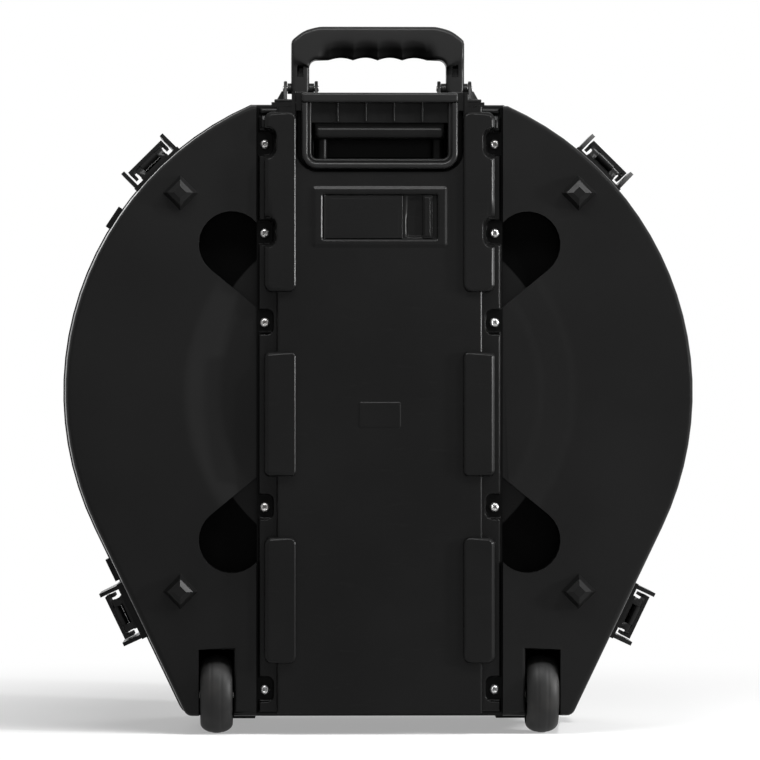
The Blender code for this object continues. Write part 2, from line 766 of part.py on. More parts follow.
def build_front_shell(frame, plastic):
    shell = add_part("front_shell", shell_block("front_shell", outer_section(FRONT_DEPTH), 1), plastic, frame)
    crown = FRONT_DEPTH + DISH_DEPTH
    dome = [(0, crown)] + s_curve(DISH_INNER, DISH_OUTER, FRONT_DEPTH, crown)[::-1]
    dome += [(DISH_OUTER, FRONT_DEPTH - WALL / 2), (0, FRONT_DEPTH - WALL / 2)]
    join(shell, facing(turned("dome", dome, 64, closed=False), 1))
    for label, location, rotation in latch_places():
        add_latch_seat(shell, f"front_{label}", location, rotation, 1, GUARD_FRONT)
    join(shell, *key_tools("front_key", 1))
    foot_back = FRONT_DEPTH - FRONT_FOOT_SETBACK - FRONT_FOOT_DEPTH
    foot_root = GROUND_GAP + outer_inset(foot_back + FRONT_FOOT_DEPTH, FRONT_DEPTH) + WALL / 2
    for hand in (-1, 1):
        points = [
            (hand * (FOOT_X + u * FRONT_FOOT_WIDTH / 2), z)
            for u, z in ((-1, foot_root), (-0.8, 0), (0.8, 0), (1, foot_root))
        ]
        join(shell, prism(f"front_foot_{hand}", points, "Y", foot_back, foot_back + FRONT_FOOT_DEPTH))
    for label, x, z in bumper_places():
        cut(shell, bumper_tool(f"socket_{label}", x, z, FRONT_DEPTH + 0.002, FRONT_DEPTH - BUMPER_HEIGHT,
                               SOCKET_CLEARANCE))

    cavity = bpy.data.objects.new("front_cavity", shell_block("front_cavity", inner_section(FRONT_DEPTH), 1))
    tools.objects.link(cavity)
    cavity.parent = frame
    hollow = [(0, crown - WALL)]
    hollow += s_curve(DISH_INNER - WALL, DISH_OUTER - WALL, FRONT_DEPTH - WALL - 0.001, crown - WALL)[::-1]
    hollow += [(DISH_OUTER - WALL, FRONT_DEPTH - WALL * 3), (0, FRONT_DEPTH - WALL * 3)]
    join(cavity, facing(turned("dome_hollow", hollow, 64, closed=False), 1))
    for label, x, z in bumper_places():
        cut(cavity, bumper_tool(f"socket_core_{label}", x, z, FRONT_DEPTH + 0.004,
                                FRONT_DEPTH - BUMPER_HEIGHT - WALL, SOCKET_CLEARANCE + WALL))
    cut(shell, cavity)
    return shell


def build_seal(frame, rubber):
    return add_part("rim_seal", seal_band("rim_seal", 0.0), rubber, frame)


# Foam and dividers


def build_foam(frame, foam, plush):
    seat = -HOUSING_FACE - WALL - CLEARANCE
    rear_rings = [(RIM_LAND, RIM_FOAM_GAP), (RIM_LAND, RIM_DEPTH), (inner_inset(seat, REAR_DEPTH), seat)]
    rear = loft("rear_liner", [outline_ring(inset + CLEARANCE, -depth) for inset, depth in rear_rings])
    rear = add_part("rear_liner", rear, foam, frame)
    cut(rear, rod("rear_pocket", POCKET_RADIUS, "Y", -REAR_FOAM_FLOOR, 0.02, (0, POCKET_Z), POCKET_SIDES))
    cut(rear, *well_tools("well_foam", WALL + CLEARANCE, WELL_SIDE + CLEARANCE))

    seat = FRONT_DEPTH - WALL - CLEARANCE
    bend = FRONT_DEPTH - EDGE_RADIUS
    lid_rings = [
        (RIM_LAND, RIM_FOAM_GAP), (RIM_LAND, RIM_DEPTH), (inner_inset(bend, FRONT_DEPTH), bend),
        (DRAFT + EDGE_RADIUS, seat),
    ]
    lid = loft("lid_liner", [outline_ring(inset + CLEARANCE, depth) for inset, depth in lid_rings])
    lid = add_part("lid_liner", lid, foam, frame)
    cut(lid, rod("lid_pocket", POCKET_RADIUS, "Y", -0.02, LID_FOAM_FLOOR, (0, POCKET_Z), POCKET_SIDES))
    for label, x, z in bumper_places():
        cut(lid, bumper_tool(f"socket_foam_{label}", x, z, FRONT_DEPTH + 0.004,
                             FRONT_DEPTH - BUMPER_HEIGHT - WALL - CLEARANCE * 2,
                             SOCKET_CLEARANCE + WALL + CLEARANCE * 2))

    radius = POCKET_RADIUS - DIVIDER_SLACK
    centre_z = POCKET_Z - DIVIDER_SLACK + CLEARANCE
    for k in range(DIVIDER_COUNT):
        low = -REAR_FOAM_FLOOR + CLEARANCE + k * (DIVIDER_THICKNESS + CLEARANCE)
        disc = rod(f"divider_{k + 1}", radius, "Y", low, low + DIVIDER_THICKNESS, (0, centre_z), POCKET_SIDES)
        add_part(f"divider_{k + 1}", disc, plush, frame)


# Trolley panel, its screws and the card frame


def card_outline():
    """Low and high corners, (x, z), of the sunk card field inside its raised frame."""
    return (-CARD_HALF, FRAME_LOW + CARD_MARGIN), (CARD_HALF, FRAME_HIGH - CARD_MARGIN)


def cover_axis():
    """x and y of the axis on which the card cover opens."""
    floor = PANEL_FACE - FRAME_RISE + CARD_RECESS
    return -CARD_HALF + COVER_PIN_RADIUS + CLEARANCE * 2, floor - COVER_THICKNESS / 2 - CLEARANCE


def build_panel(frame, plastic, screw_steel):
    inner_half = PANEL_HALF - PANEL_WALL
    body = box("trolley_panel", (-PANEL_HALF, PANEL_FACE, PANEL_FOOT), (PANEL_HALF, FLANGE_BACK, PANEL_TOP))
    panel = add_part("trolley_panel", body, plastic, frame)
    hood_back = HOUSING_FACE - CLEARANCE
    hood_half = HOUSING_HALF - CLEARANCE
    flange_half = CHANNEL_HALF - CLEARANCE
    join(
        panel,
        box("flange", (-flange_half, FLANGE_FACE, PANEL_FOOT + STAGGER * 2),
            (flange_half, FLANGE_BACK - STAGGER / 10, PANEL_TOP - STAGGER * 2)),
        box("hood_shelf", (-hood_half, FLANGE_FACE, PANEL_TOP - PANEL_WALL),
            (hood_half, hood_back, PANEL_TOP - STAGGER)),
        box("hood", (-HOOD_HALF, PANEL_FACE + STAGGER, PANEL_TOP - PANEL_WALL * 2),
            (HOOD_HALF, hood_back, HOOD_TOP)),
    )
    for k, (low, high) in enumerate(PAD_SPANS):
        for hand in (-1, 1):
            inside, outside = sorted((hand * (PAD_OUTER - PAD_WIDTH), hand * PAD_OUTER))
            join(panel, box(f"pad_{k}_{hand}", (inside, PANEL_FACE - PAD_RISE, low),
                            (outside, FLANGE_BACK - STAGGER * 2, high)))
    join(
        panel,
        box("card_frame", (-FRAME_HALF, PANEL_FACE - FRAME_RISE, FRAME_LOW),
            (FRAME_HALF, PANEL_FACE + LAP, FRAME_HIGH)),
        box("blank_plate", (-PLATE_WIDTH / 2, PANEL_FACE - PLATE_RISE, PLATE_CENTRE - PLATE_HEIGHT / 2),
            (PLATE_WIDTH / 2, PANEL_FACE + LAP, PLATE_CENTRE + PLATE_HEIGHT / 2)),
    )
    hollow = bpy.data.objects.new("panel_hollow", box(
        "panel_hollow", (-inner_half, PANEL_FACE + PANEL_WALL, PANEL_FOOT + PANEL_WALL),
        (inner_half, FLANGE_BACK + 0.002, PANEL_TOP - PANEL_WALL),
    ))
    tools.objects.link(hollow)
    hollow.parent = frame
    (left, low), (right, high) = card_outline()
    floor = PANEL_FACE - FRAME_RISE + CARD_RECESS
    hood_inner = HOOD_HALF - PANEL_WALL
    join(hollow, box("hood_hollow", (-hood_inner, PANEL_FACE + PANEL_WALL, PANEL_TOP - PANEL_WALL * 3),
                     (hood_inner, hood_back + LAP * 2, HOOD_TOP - PANEL_WALL)))
    cut(hollow, box("card_backing", (left - CARD_BACKING, PANEL_FACE, low - CARD_BACKING),
                    (right + CARD_BACKING, floor + CARD_BACKING, high + CARD_BACKING)))
    cut(panel, hollow)
    opening = WELL_HALF + WELL_WALL + CLEARANCE
    cut(panel, box("well_opening", (-opening, PANEL_FACE - OVERCUT, WELL_BOTTOM - WELL_FLOOR - CLEARANCE),
                   (opening, PANEL_FACE + WELL_DEPTH + WELL_WALL + CLEARANCE, HOOD_TOP + OVERCUT)))
    cut(panel, box("card_field", (left, PANEL_FACE - OVERCUT, low), (right, floor, high)))
    pin_x, pin_y = cover_axis()
    reach = COVER_PIN_LENGTH + CLEARANCE * 2
    cut(panel, rod("cover_hole", COVER_PIN_RADIUS + CLEARANCE, "Z", low - reach, high + reach,
                   (pin_x, pin_y), 8))
    for hand in (-1, 1):
        for k, z in enumerate(SCREW_HEIGHTS):
            x = hand * SCREW_X
            cut(panel, rod(f"screw_pocket_{hand}_{k}", SCREW_POCKET, "Y", PANEL_FACE - OVERCUT, FLANGE_FACE,
                           (x, z), 16))
            cut(panel, rod(f"flange_hole_{hand}_{k}", SCREW_RADIUS + CLEARANCE, "Y", FLANGE_FACE - 0.002,
                           FLANGE_BACK + 0.002, (x, z), 8))
    head = FLANGE_FACE - CLEARANCE
    profile = [
        (0, SCREW_HEAD_HEIGHT), (SCREW_HEAD_RADIUS * 0.6, SCREW_HEAD_HEIGHT),
        (SCREW_HEAD_RADIUS, SCREW_HEAD_HEIGHT * 0.4), (SCREW_HEAD_RADIUS, 0), (SCREW_RADIUS, 0),
        (SCREW_RADIUS, -SCREW_LENGTH), (0, -SCREW_LENGTH),
    ]
    for hand, label in ((-1, "left"), (1, "right")):
        for k, z in enumerate(SCREW_HEIGHTS):
            add_turned(f"panel_screw_{label}_{k + 1}", profile, 8, screw_steel, frame,
                       (math.pi / 2, 0, 0), (hand * SCREW_X, head, z), closed=False)
    return panel


def build_card_cover(frame, plastic):
    (left, low), (right, high) = card_outline()
    pin_x, pin_y = cover_axis()
    hinge = make_empty("card_cover_axis", (pin_x, pin_y, (low + high) / 2), parent=frame)
    half = (high - low) / 2 - CLEARANCE
    cover = add_part("card_cover", box("card_cover", (0, -COVER_THICKNESS / 2, -half),
                                       (COVER_WIDTH, COVER_THICKNESS / 2, half)), plastic, hinge)
    reach = half + COVER_PIN_LENGTH
    join(cover, rod("cover_pin", COVER_PIN_RADIUS, "Z", -reach, reach, (0, 0), 8))

    catch_left = left + COVER_WIDTH + FINGER_GAP
    floor = PANEL_FACE - FRAME_RISE + CARD_RECESS - CLEARANCE
    shape = ((0, 0), (0, 0.6), (0.25, 1), (0.75, 1), (1, 0.6), (1, 0))
    points = [(catch_left + u * CATCH_WIDTH, floor - v * CATCH_HEIGHT) for u, v in shape]
    catch = prism("card_catch", points, "Z", low + CLEARANCE, high - CLEARANCE)
    add_part("card_catch", catch, plastic, frame)
    return cover


# Tow handle


def u_outline(half, low, high, corner):
    """A U with rounded lower corners, (x, z)."""
    points = [(-half, high)]
    points += arc((-half + corner, low + corner), corner, math.pi, math.pi * 1.5, 4)
    points += arc((half - corner, low + corner), corner, math.pi * 1.5, math.pi * 2, 4)
    return points + [(half, high)]


def build_handle_well(frame, plastic):
    back = PANEL_FACE + WELL_DEPTH + WELL_WALL
    floor = WELL_BOTTOM - WELL_FLOOR
    outer = WELL_HALF + WELL_WALL
    body = box("handle_well", (-outer, PANEL_FACE - LAP, floor), (outer, back, WELL_TOP))
    well = add_part("handle_well", body, plastic, frame)
    bead_top = GRIP_LIP_LOW - CLEARANCE
    rim = u_outline(BEAD_HALF, BEAD_BOTTOM, bead_top, BEAD_CORNER)
    join(well, prism("bead", rim, "Y", PANEL_FACE - BEAD_RISE, PANEL_FACE - CLEARANCE))
    inside_half = BEAD_HALF - BEAD_WIDTH
    inside = u_outline(inside_half, BEAD_BOTTOM + BEAD_WIDTH, bead_top + 0.01, BEAD_CORNER - BEAD_WIDTH)
    face_low = GRIP_FACE_LOW - CLEARANCE
    face_half = GRIP_FACE_HALF + CLEARANCE
    cut(
        well,
        prism("bead_inside", inside, "Y", PANEL_FACE - BEAD_RISE - 0.01, PANEL_FACE - BEAD_LEDGE),
        box("cup", (-WELL_HALF, PANEL_FACE - OVERCUT, WELL_BOTTOM),
            (WELL_HALF, back - WELL_WALL, HOOD_TOP + OVERCUT)),
        box("grip_way", (-face_half, PANEL_FACE - BEAD_RISE - 0.01, face_low),
            (face_half, grip_face() + CLEARANCE, HOOD_TOP + OVERCUT)),
        box("lip_way", (-BEAD_HALF, PANEL_FACE - 0.01, bead_top), (BEAD_HALF, PANEL_FACE, HOOD_TOP + OVERCUT)),
    )
    for hand in (-1, 1):
        spot = (hand * TOW_X, TOW_Y)
        low, high = floor - OVERCUT, WELL_BOTTOM + OVERCUT
        cut(well, rod(f"tube_way_{hand}", TOW_TUBE_RADIUS + CLEARANCE, "Z", low, high, spot))
        cut(well, rod(f"guide_seat_{hand}", GUIDE_RADIUS + CLEARANCE, "Z", low, floor + GUIDE_SEAT, spot))


def grip_back():
    return PANEL_FACE + WELL_DEPTH - GRIP_BACK_GAP


def grip_face():
    return grip_back() - GRIP_DEPTH


def build_tow_handle(frame, plastic, grip_plastic, tube_metal):
    tow = make_empty("tow_handle_axis", (0, TOW_Y, GRIP_LOW), parent=frame)
    height = GRIP_HEIGHT
    back, face = grip_back() - TOW_Y, grip_face() - TOW_Y
    front = PANEL_FACE - CLEARANCE - TOW_Y
    lip = GRIP_LIP_HEIGHT
    body = box("tow_grip", (-GRIP_HALF, face - STAGGER, 0), (GRIP_HALF, back, height))
    grip = add_part("tow_grip", body, grip_plastic, tow)
    bar_top, board_low = GRIP_BAR_HEIGHT, GRIP_BOARD_LOW
    reach = GRIP_BAR_REACH
    bar = [
        (face - reach, bar_top - reach / 2), (face - reach, reach), (face - reach / 2, reach / 4),
        (face + LAP, STAGGER), (face + LAP, bar_top), (face - reach / 2, bar_top),
    ]
    cut(grip, box("grip_gap", (-GRIP_HALF - OVERCUT, face - OVERCUT, bar_top),
                  (GRIP_HALF + OVERCUT, face + GRIP_GROOVE, board_low)))
    join(
        grip,
        prism("grip_bar", bar, "X", -GRIP_BAR_HALF, GRIP_BAR_HALF),
        box("grip_board", (-GRIP_FACE_HALF, face - GRIP_BOARD_RISE, board_low),
            (GRIP_FACE_HALF, face, height - STAGGER * 2)),
        box("grip_lip", (-GRIP_FACE_HALF, front - LAP, lip),
            (GRIP_FACE_HALF, face - LAP, height - STAGGER * 3)),
        box("grip_front", (-BEAD_HALF, front - GRIP_LIP_REACH, lip + STAGGER),
            (BEAD_HALF, front, height - STAGGER)),
    )
    rib_root = face - LAP
    for k in range(GRIP_RIB_COUNT):
        x = (k - (GRIP_RIB_COUNT - 1) / 2) * GRIP_RIB_PITCH
        join(grip, box(f"grip_rib_{k}", (x - GRIP_RIB_WIDTH / 2, rib_root - GRIP_RIB_RISE, board_low + LAP),
                       (x + GRIP_RIB_WIDTH / 2, rib_root, lip + LAP)))
    for hand, label in ((-1, "left"), (1, "right")):
        x = hand * TOW_X
        cut(grip, rod(f"tube_socket_{hand}", TOW_TUBE_RADIUS + CLEARANCE, "Z", -0.01, TOW_SOCKET, (x, 0)))
        top = TOW_SOCKET - CLEARANCE
        bottom = HOUSING_FLOOR + CLEARANCE + FOOT_HEIGHT + TOW_END_GAP - GRIP_LOW
        outer, inner = TOW_TUBE_RADIUS, TOW_TUBE_BORE
        tube = [(outer, top), (outer, bottom), (inner, bottom), (inner, top)]
        add_turned(f"tow_tube_{label}", tube, 16, tube_metal, tow, location=(x, 0, 0))
        way = TOW_TUBE_RADIUS + CLEARANCE
        low = HOUSING_FLOOR + CLEARANCE * 2 + FOOT_HEIGHT / 2
        high = WELL_BOTTOM - WELL_FLOOR + GUIDE_SEAT - CLEARANCE
        guide = [(GUIDE_RADIUS, high), (GUIDE_RADIUS, low), (way, low), (way, high)]
        add_turned(f"tow_guide_{label}", guide, 16, tube_metal, frame, location=(x, TOW_Y, 0))

    foot_low = HOUSING_FLOOR + CLEARANCE
    body = box("tow_foot", (-FOOT_HALF, TOW_Y - FOOT_FRONT, foot_low),
               (FOOT_HALF, HOUSING_FACE - CLEARANCE, foot_low + FOOT_HEIGHT))
    foot = add_part("tow_foot", body, plastic, frame)
    for hand in (-1, 1):
        cut(foot, rod(f"foot_socket_{hand}", GUIDE_RADIUS + CLEARANCE, "Z", foot_low + FOOT_HEIGHT / 2,
                      foot_low + FOOT_HEIGHT + 0.01, (hand * TOW_X, TOW_Y)))


# Carry handle


def handle_outline():
    """The handle seen from the back, (x, z) about the middle of its pivot."""
    top, opening = HANDLE_HEIGHT, OPENING_HEIGHT
    inner = HANDLE_HALF - HANDLE_LEG
    leg_centre = (HANDLE_HALF + inner) / 2
    half_leg = HANDLE_LEG / 2
    right = [(HANDLE_HALF - u * HANDLE_SHOULDER, top - v * HANDLE_SHOULDER_DROP) for u, v in SHOULDER_SHAPE]
    right += [(leg_centre + u, v) for u, v in arc((0, 0), half_leg, 0, -math.pi, 6)]
    corner = HANDLE_CORNER
    right += [(inner + u, opening + v) for u, v in arc((-corner, -corner), corner, 0, math.pi / 2, 3)]
    last = FINGER_COUNT // 2
    for k in range(last * FINGER_STEPS, -1, -1):
        share = k / FINGER_STEPS
        rise = FINGER_RISE * (1 - FINGER_EASE * (share / last) ** 2)
        right.append((share * FINGER_PITCH, opening + rise * abs(math.sin(math.pi * share))))
    left = [(-x, z) for x, z in reversed(right) if x > 1e-6]
    return right + left


def build_carry_handle(frame, plastic, steel):
    pivot = make_empty("carry_handle_axis", (0, HANDLE_Y, HANDLE_PIVOT), parent=frame)
    half = HANDLE_DEPTH / 2
    body = prism("carry_handle", handle_outline(), "Y", -half, half)
    handle = add_part("carry_handle", body, plastic, pivot)
    swing = HANDLE_PIVOT - BRACKET_TOP - CLEARANCE
    below = arc((0, 0), swing, math.pi + LEG_ROUND_START, math.pi * 2 - LEG_ROUND_START, 8)
    side, level = half + OVERCUT, below[0][1]
    below += [(side, level), (side, -OVERCUT), (-side, -OVERCUT), (-side, level)]
    cut(handle, prism("leg_rounding", below, "X", -HANDLE_HALF - OVERCUT, HANDLE_HALF + OVERCUT))
    for hand in (-1, 1):
        for face in (-1, 1):
            low, high = sorted((face * HANDLE_LEG_DEPTH / 2, face * (half + 0.01)))
            xs = sorted((hand * (HANDLE_HALF - HANDLE_LEG - 0.01), hand * (HANDLE_HALF + 0.01)))
            cut(handle, box(f"leg_relief_{hand}_{face}", (xs[0], low, -0.03), (xs[1], high, HANDLE_LEG_HEIGHT)))
        x = hand * (HANDLE_HALF - HANDLE_LEG / 2)
        wide, tall = HANDLE_WINDOW
        cut(handle, box(f"leg_window_{hand}", (x - wide / 2, -half - 0.01, WINDOW_HEIGHT - tall / 2),
                        (x + wide / 2, HANDLE_LEG_DEPTH / 4, WINDOW_HEIGHT + tall / 2)))
        cut(handle, rod(f"leg_bore_{hand}", PIN_RADIUS + CLEARANCE, "X", x - 0.02, x + 0.02, (0, 0), 12))

    for hand, label in ((-1, "left"), (1, "right")):
        xs = sorted((hand * (EAR_INNER - LAP), hand * (EAR_OUTER + EAR_THICKNESS + GUSSET_REACH)))
        bracket = add_part(f"handle_bracket_{label}", box(
            f"handle_bracket_{label}", (xs[0], HANDLE_Y - BRACKET_DEPTH / 2, BRACKET_LOW),
            (xs[1], HANDLE_Y + BRACKET_DEPTH / 2, BRACKET_TOP),
        ), plastic, frame)
        for k, inner in enumerate((EAR_INNER, EAR_OUTER)):
            xs = sorted((hand * inner, hand * (inner + EAR_THICKNESS)))
            crown = arc((HANDLE_Y, HANDLE_PIVOT), EAR_RADIUS, 0, math.pi, 6)
            foot = BRACKET_LOW + LAP
            root = [(HANDLE_Y - EAR_DEPTH / 2, foot), (HANDLE_Y + EAR_DEPTH / 2, foot)]
            join(bracket, prism(f"ear_{label}_{k}", crown + root, "X", xs[0], xs[1]))
        near = hand * (EAR_OUTER + EAR_THICKNESS - LAP)
        far = near + hand * (GUSSET_REACH - LAP)
        gusset = [(near, foot), (near, HANDLE_PIVOT + LAP * 3), (far, BRACKET_TOP - LAP / 2), (far, foot)]
        half_gusset = EAR_THICKNESS / 2
        join(bracket, prism(f"gusset_{label}", gusset, "Y", HANDLE_Y - half_gusset, HANDLE_Y + half_gusset))
        reach = (EAR_INNER - LAP, EAR_OUTER + EAR_THICKNESS + LAP)
        xs = sorted(hand * x for x in reach)
        cut(bracket, rod(f"bracket_bore_{label}", PIN_RADIUS + CLEARANCE, "X", xs[0] - 0.004, xs[1] + 0.004,
                         (HANDLE_Y, HANDLE_PIVOT), 12))
        add_part(f"handle_pin_{label}", rod(f"handle_pin_{label}", PIN_RADIUS, "X", xs[0], xs[1],
                                            (HANDLE_Y, HANDLE_PIVOT), 12), steel, frame)


# Wheels


def build_wheels(frame, rubber, hub_plastic, steel):
    half = WHEEL_WIDTH / 2
    hub_half = HUB_WIDTH / 2
    bulge = half * TREAD_CURVE
    tread = [
        (WHEEL_RADIUS - bulge + bulge * math.cos(angle), half * math.sin(angle))
        for angle in (math.radians(90 - 22.5 * k) for k in range(9))
    ]
    tyre = [(TYRE_BORE, half * 0.9)] + tread + [(TYRE_BORE, -half * 0.9)]
    bore = AXLE_RADIUS + CLEARANCE
    rim = TYRE_BORE - CLEARANCE
    dished = rim - HUB_RIM
    floor = hub_half - HUB_RECESS
    hub = [
        (rim, hub_half), (rim, -hub_half), (dished, -hub_half), (HUB_BOSS, -floor), (HUB_BOSS, -half),
        (bore, -half), (bore, half), (HUB_BOSS, half), (HUB_BOSS, floor), (dished, hub_half),
    ]
    reach = half + WELL_GAP + AXLE_SEAT
    for hand, label in ((-1, "left"), (1, "right")):
        spot = (hand * WHEEL_X, wheel_centre_y(), WHEEL_RADIUS)
        axis = make_empty(f"wheel_{label}_axis", spot, parent=frame)
        add_turned(f"wheel_tyre_{label}", tyre, 32, rubber, axis, (0, math.pi / 2, 0))
        add_turned(f"wheel_hub_{label}", hub, 24, hub_plastic, axis, (0, math.pi / 2, 0))
        axle = rod(f"wheel_axle_{label}", AXLE_RADIUS, "X", -reach, reach, (0, 0), 12)
        add_part(f"wheel_axle_{label}", axle, steel, axis)


# Latches


def build_latches(frame, plastic, trigger_plastic, steel):
    for label, location, rotation in latch_places():
        spot = make_empty(f"latch_{label}", location, rotation, frame)
        build_latch_base(label, spot, plastic, steel)
        axis = make_empty(f"latch_lever_axis_{label}", (0, LATCH_PIN_Y, LATCH_PIN_HEIGHT), parent=spot)
        build_latch_lever(label, axis, plastic)
        bar_z = LEVER_TOP - LEVER_PLATE - CLEARANCE - TRIGGER_BAR_RADIUS
        bar = (0, TRIGGER_AXIS - LATCH_PIN_Y, bar_z - LATCH_PIN_HEIGHT)
        hinge = make_empty(f"latch_trigger_axis_{label}", bar, parent=axis)
        build_latch_trigger(label, hinge, bar_z, trigger_plastic)


def build_latch_base(label, spot, plastic, steel):
    """The hinge base on the rear shell with its pin, and the keeper on the lid."""
    seat = CLEARANCE - LATCH_SEAT_DROP
    pin = (LATCH_PIN_Y, LATCH_PIN_HEIGHT)
    base = add_part(f"latch_base_{label}", box(
        f"latch_base_{label}", (-LATCH_BASE_HALF, LATCH_BASE_SPAN[0], seat),
        (LATCH_BASE_HALF, LATCH_BASE_SPAN[1], seat + LATCH_BASE_THICKNESS),
    ), plastic, spot)
    radius = LATCH_EAR_RADIUS
    root = radius + LATCH_EAR_FLARE
    ear = arc(pin, radius, 0, math.pi, 5) + [(pin[0] - root, seat + LAP), (pin[0] + root, seat + LAP)]
    for hand in (-1, 1):
        low, high = sorted((hand * LATCH_EAR_OFFSET, hand * (LATCH_EAR_OFFSET + LATCH_EAR_THICKNESS)))
        join(base, prism(f"latch_ear_{label}_{hand}", ear, "X", low, high))
    cut(base, rod(f"latch_bore_{label}", LATCH_PIN_RADIUS + CLEARANCE, "X", -LEVER_HALF, LEVER_HALF, pin, 8))
    reach = LATCH_BASE_HALF
    pin_rod = rod(f"latch_pin_{label}", LATCH_PIN_RADIUS, "X", -reach, reach, pin, 8)
    add_part(f"latch_pin_{label}", pin_rod, steel, spot)
    near, far = KEEPER_SPAN
    points = [(near, seat), (far, seat), (far, KEEPER_TOP), (near + (far - near) * 0.6, KEEPER_TOP),
              (near, seat + LATCH_BASE_THICKNESS)]
    keeper = prism(f"latch_keeper_{label}", points, "X", -KEEPER_HALF, KEEPER_HALF)
    add_part(f"latch_keeper_{label}", keeper, plastic, spot)


def build_latch_lever(label, axis, plastic):
    top = LEVER_TOP - LATCH_PIN_HEIGHT
    under = top - LEVER_PLATE
    start, end = (y - LATCH_PIN_Y for y in LEVER_SPAN)
    lever = add_part(f"latch_lever_{label}", box(
        f"latch_lever_{label}", (-LEVER_HALF, start, under), (LEVER_HALF, end, top)), plastic, axis)
    for hand in (-1, 1):
        low, high = sorted((hand * (LEVER_HALF - LEVER_FLANGE), hand * (LEVER_HALF - STAGGER)))
        flange_low = LEVER_FLANGE_LOW - LATCH_PIN_HEIGHT
        join(lever, box(f"lever_flange_{label}_{hand}", (low, start + STAGGER, flange_low),
                        (high, LEVER_FLANGE_END - LATCH_PIN_Y, under + LAP)))
    barrel = LATCH_EAR_OFFSET - CLEARANCE
    nose_low = LEVER_NOSE_LOW - LATCH_PIN_HEIGHT
    bore = LATCH_PIN_RADIUS + CLEARANCE
    slot = (TRIGGER_SPAN[0] - SLOT_GAP - LATCH_PIN_Y, TRIGGER_SPAN[1] + SLOT_GAP - LATCH_PIN_Y)
    join(
        lever,
        box(f"lever_nose_{label}", (-LEVER_NOSE_HALF, end - LEVER_NOSE_LENGTH, nose_low),
            (LEVER_NOSE_HALF, end - STAGGER, under + LAP)),
        rod(f"lever_barrel_{label}", LEVER_BARREL_RADIUS, "X", -barrel, barrel, (0, 0), 12),
    )
    cut(
        lever,
        box(f"lever_slot_{label}", (-TRIGGER_HALF - SLOT_GAP, slot[0], under - 0.002),
            (TRIGGER_HALF + SLOT_GAP, slot[1], top + 0.002)),
        rod(f"lever_bore_{label}", bore, "X", -LEVER_HALF - 0.002, LEVER_HALF + 0.002, (0, 0), 8),
    )


def trigger_back(height):
    """y of the trigger's back end at a height above its bar, from which it swings clear of the slot."""
    room = TRIGGER_AXIS - TRIGGER_SPAN[0] + SLOT_GAP - CLEARANCE
    return (height * math.sin(TRIGGER_SWING) - room) / math.cos(TRIGGER_SWING)


def build_latch_trigger(label, hinge, bar_z, plastic):
    """The release plate in the lever's slot. Its own origin is on the bar it turns about."""
    low = LEVER_TOP - LEVER_PLATE + SLOT_GAP - bar_z
    high = LEVER_TOP + TRIGGER_RISE - bar_z
    end = TRIGGER_SPAN[1] - TRIGGER_AXIS
    side = [(trigger_back(low), low), (end, low), (end, high), (trigger_back(high), high)]
    plate = prism(f"latch_trigger_{label}", side, "X", -TRIGGER_HALF, TRIGGER_HALF)
    trigger = add_part(f"latch_trigger_{label}", plate, plastic, hinge)
    neck = TRIGGER_BAR_RADIUS * 0.7
    neck_half = TRIGGER_HALF - LAP / 2
    join(
        trigger,
        box(f"trigger_neck_{label}", (-neck_half, -neck, -neck), (neck_half, neck, low + LAP)),
        rod(f"trigger_bar_{label}", TRIGGER_BAR_RADIUS, "X", -TRIGGER_BAR_HALF, TRIGGER_BAR_HALF, (0, 0), 8),
    )


def main():
    clear_scene()
    shell_plastic = make_material("shell_plastic", (0.021, 0.021, 0.021), 0.45)
    panel_plastic = make_material("panel_plastic", (0.024, 0.024, 0.024), 0.42)
    dark_plastic = make_material("dark_plastic", (0.015, 0.015, 0.015), 0.5)
    handle_plastic = make_material("handle_plastic", (0.022, 0.022, 0.022), 0.4)
    rubber = make_material("rubber", (0.018, 0.018, 0.018), 0.55)
    foam = make_material("foam", (0.030, 0.030, 0.032), 0.95)
    plush = make_material("plush", (0.025, 0.025, 0.027), 0.95)
    steel = make_material("steel", (0.45, 0.45, 0.46), 0.3, 1.0)
    tube_metal = make_material("tube_metal", (0.05, 0.05, 0.052), 0.3, 1.0)

    frame = make_empty("case_frame", (0, PARTING_Y, 0))
    build_rear_shell(frame, shell_plastic)
    build_front_shell(frame, shell_plastic)
    build_seal(frame, rubber)
    build_foam(frame, foam, plush)
    build_panel(frame, panel_plastic, steel)
    build_card_cover(frame, panel_plastic)
    build_handle_well(frame, dark_plastic)
    build_tow_handle(frame, dark_plastic, handle_plastic, tube_metal)
    build_carry_handle(frame, handle_plastic, steel)
    build_wheels(frame, rubber, dark_plastic, steel)
    build_latches(frame, dark_plastic, handle_plastic, steel)


main()
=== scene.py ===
import json
import math

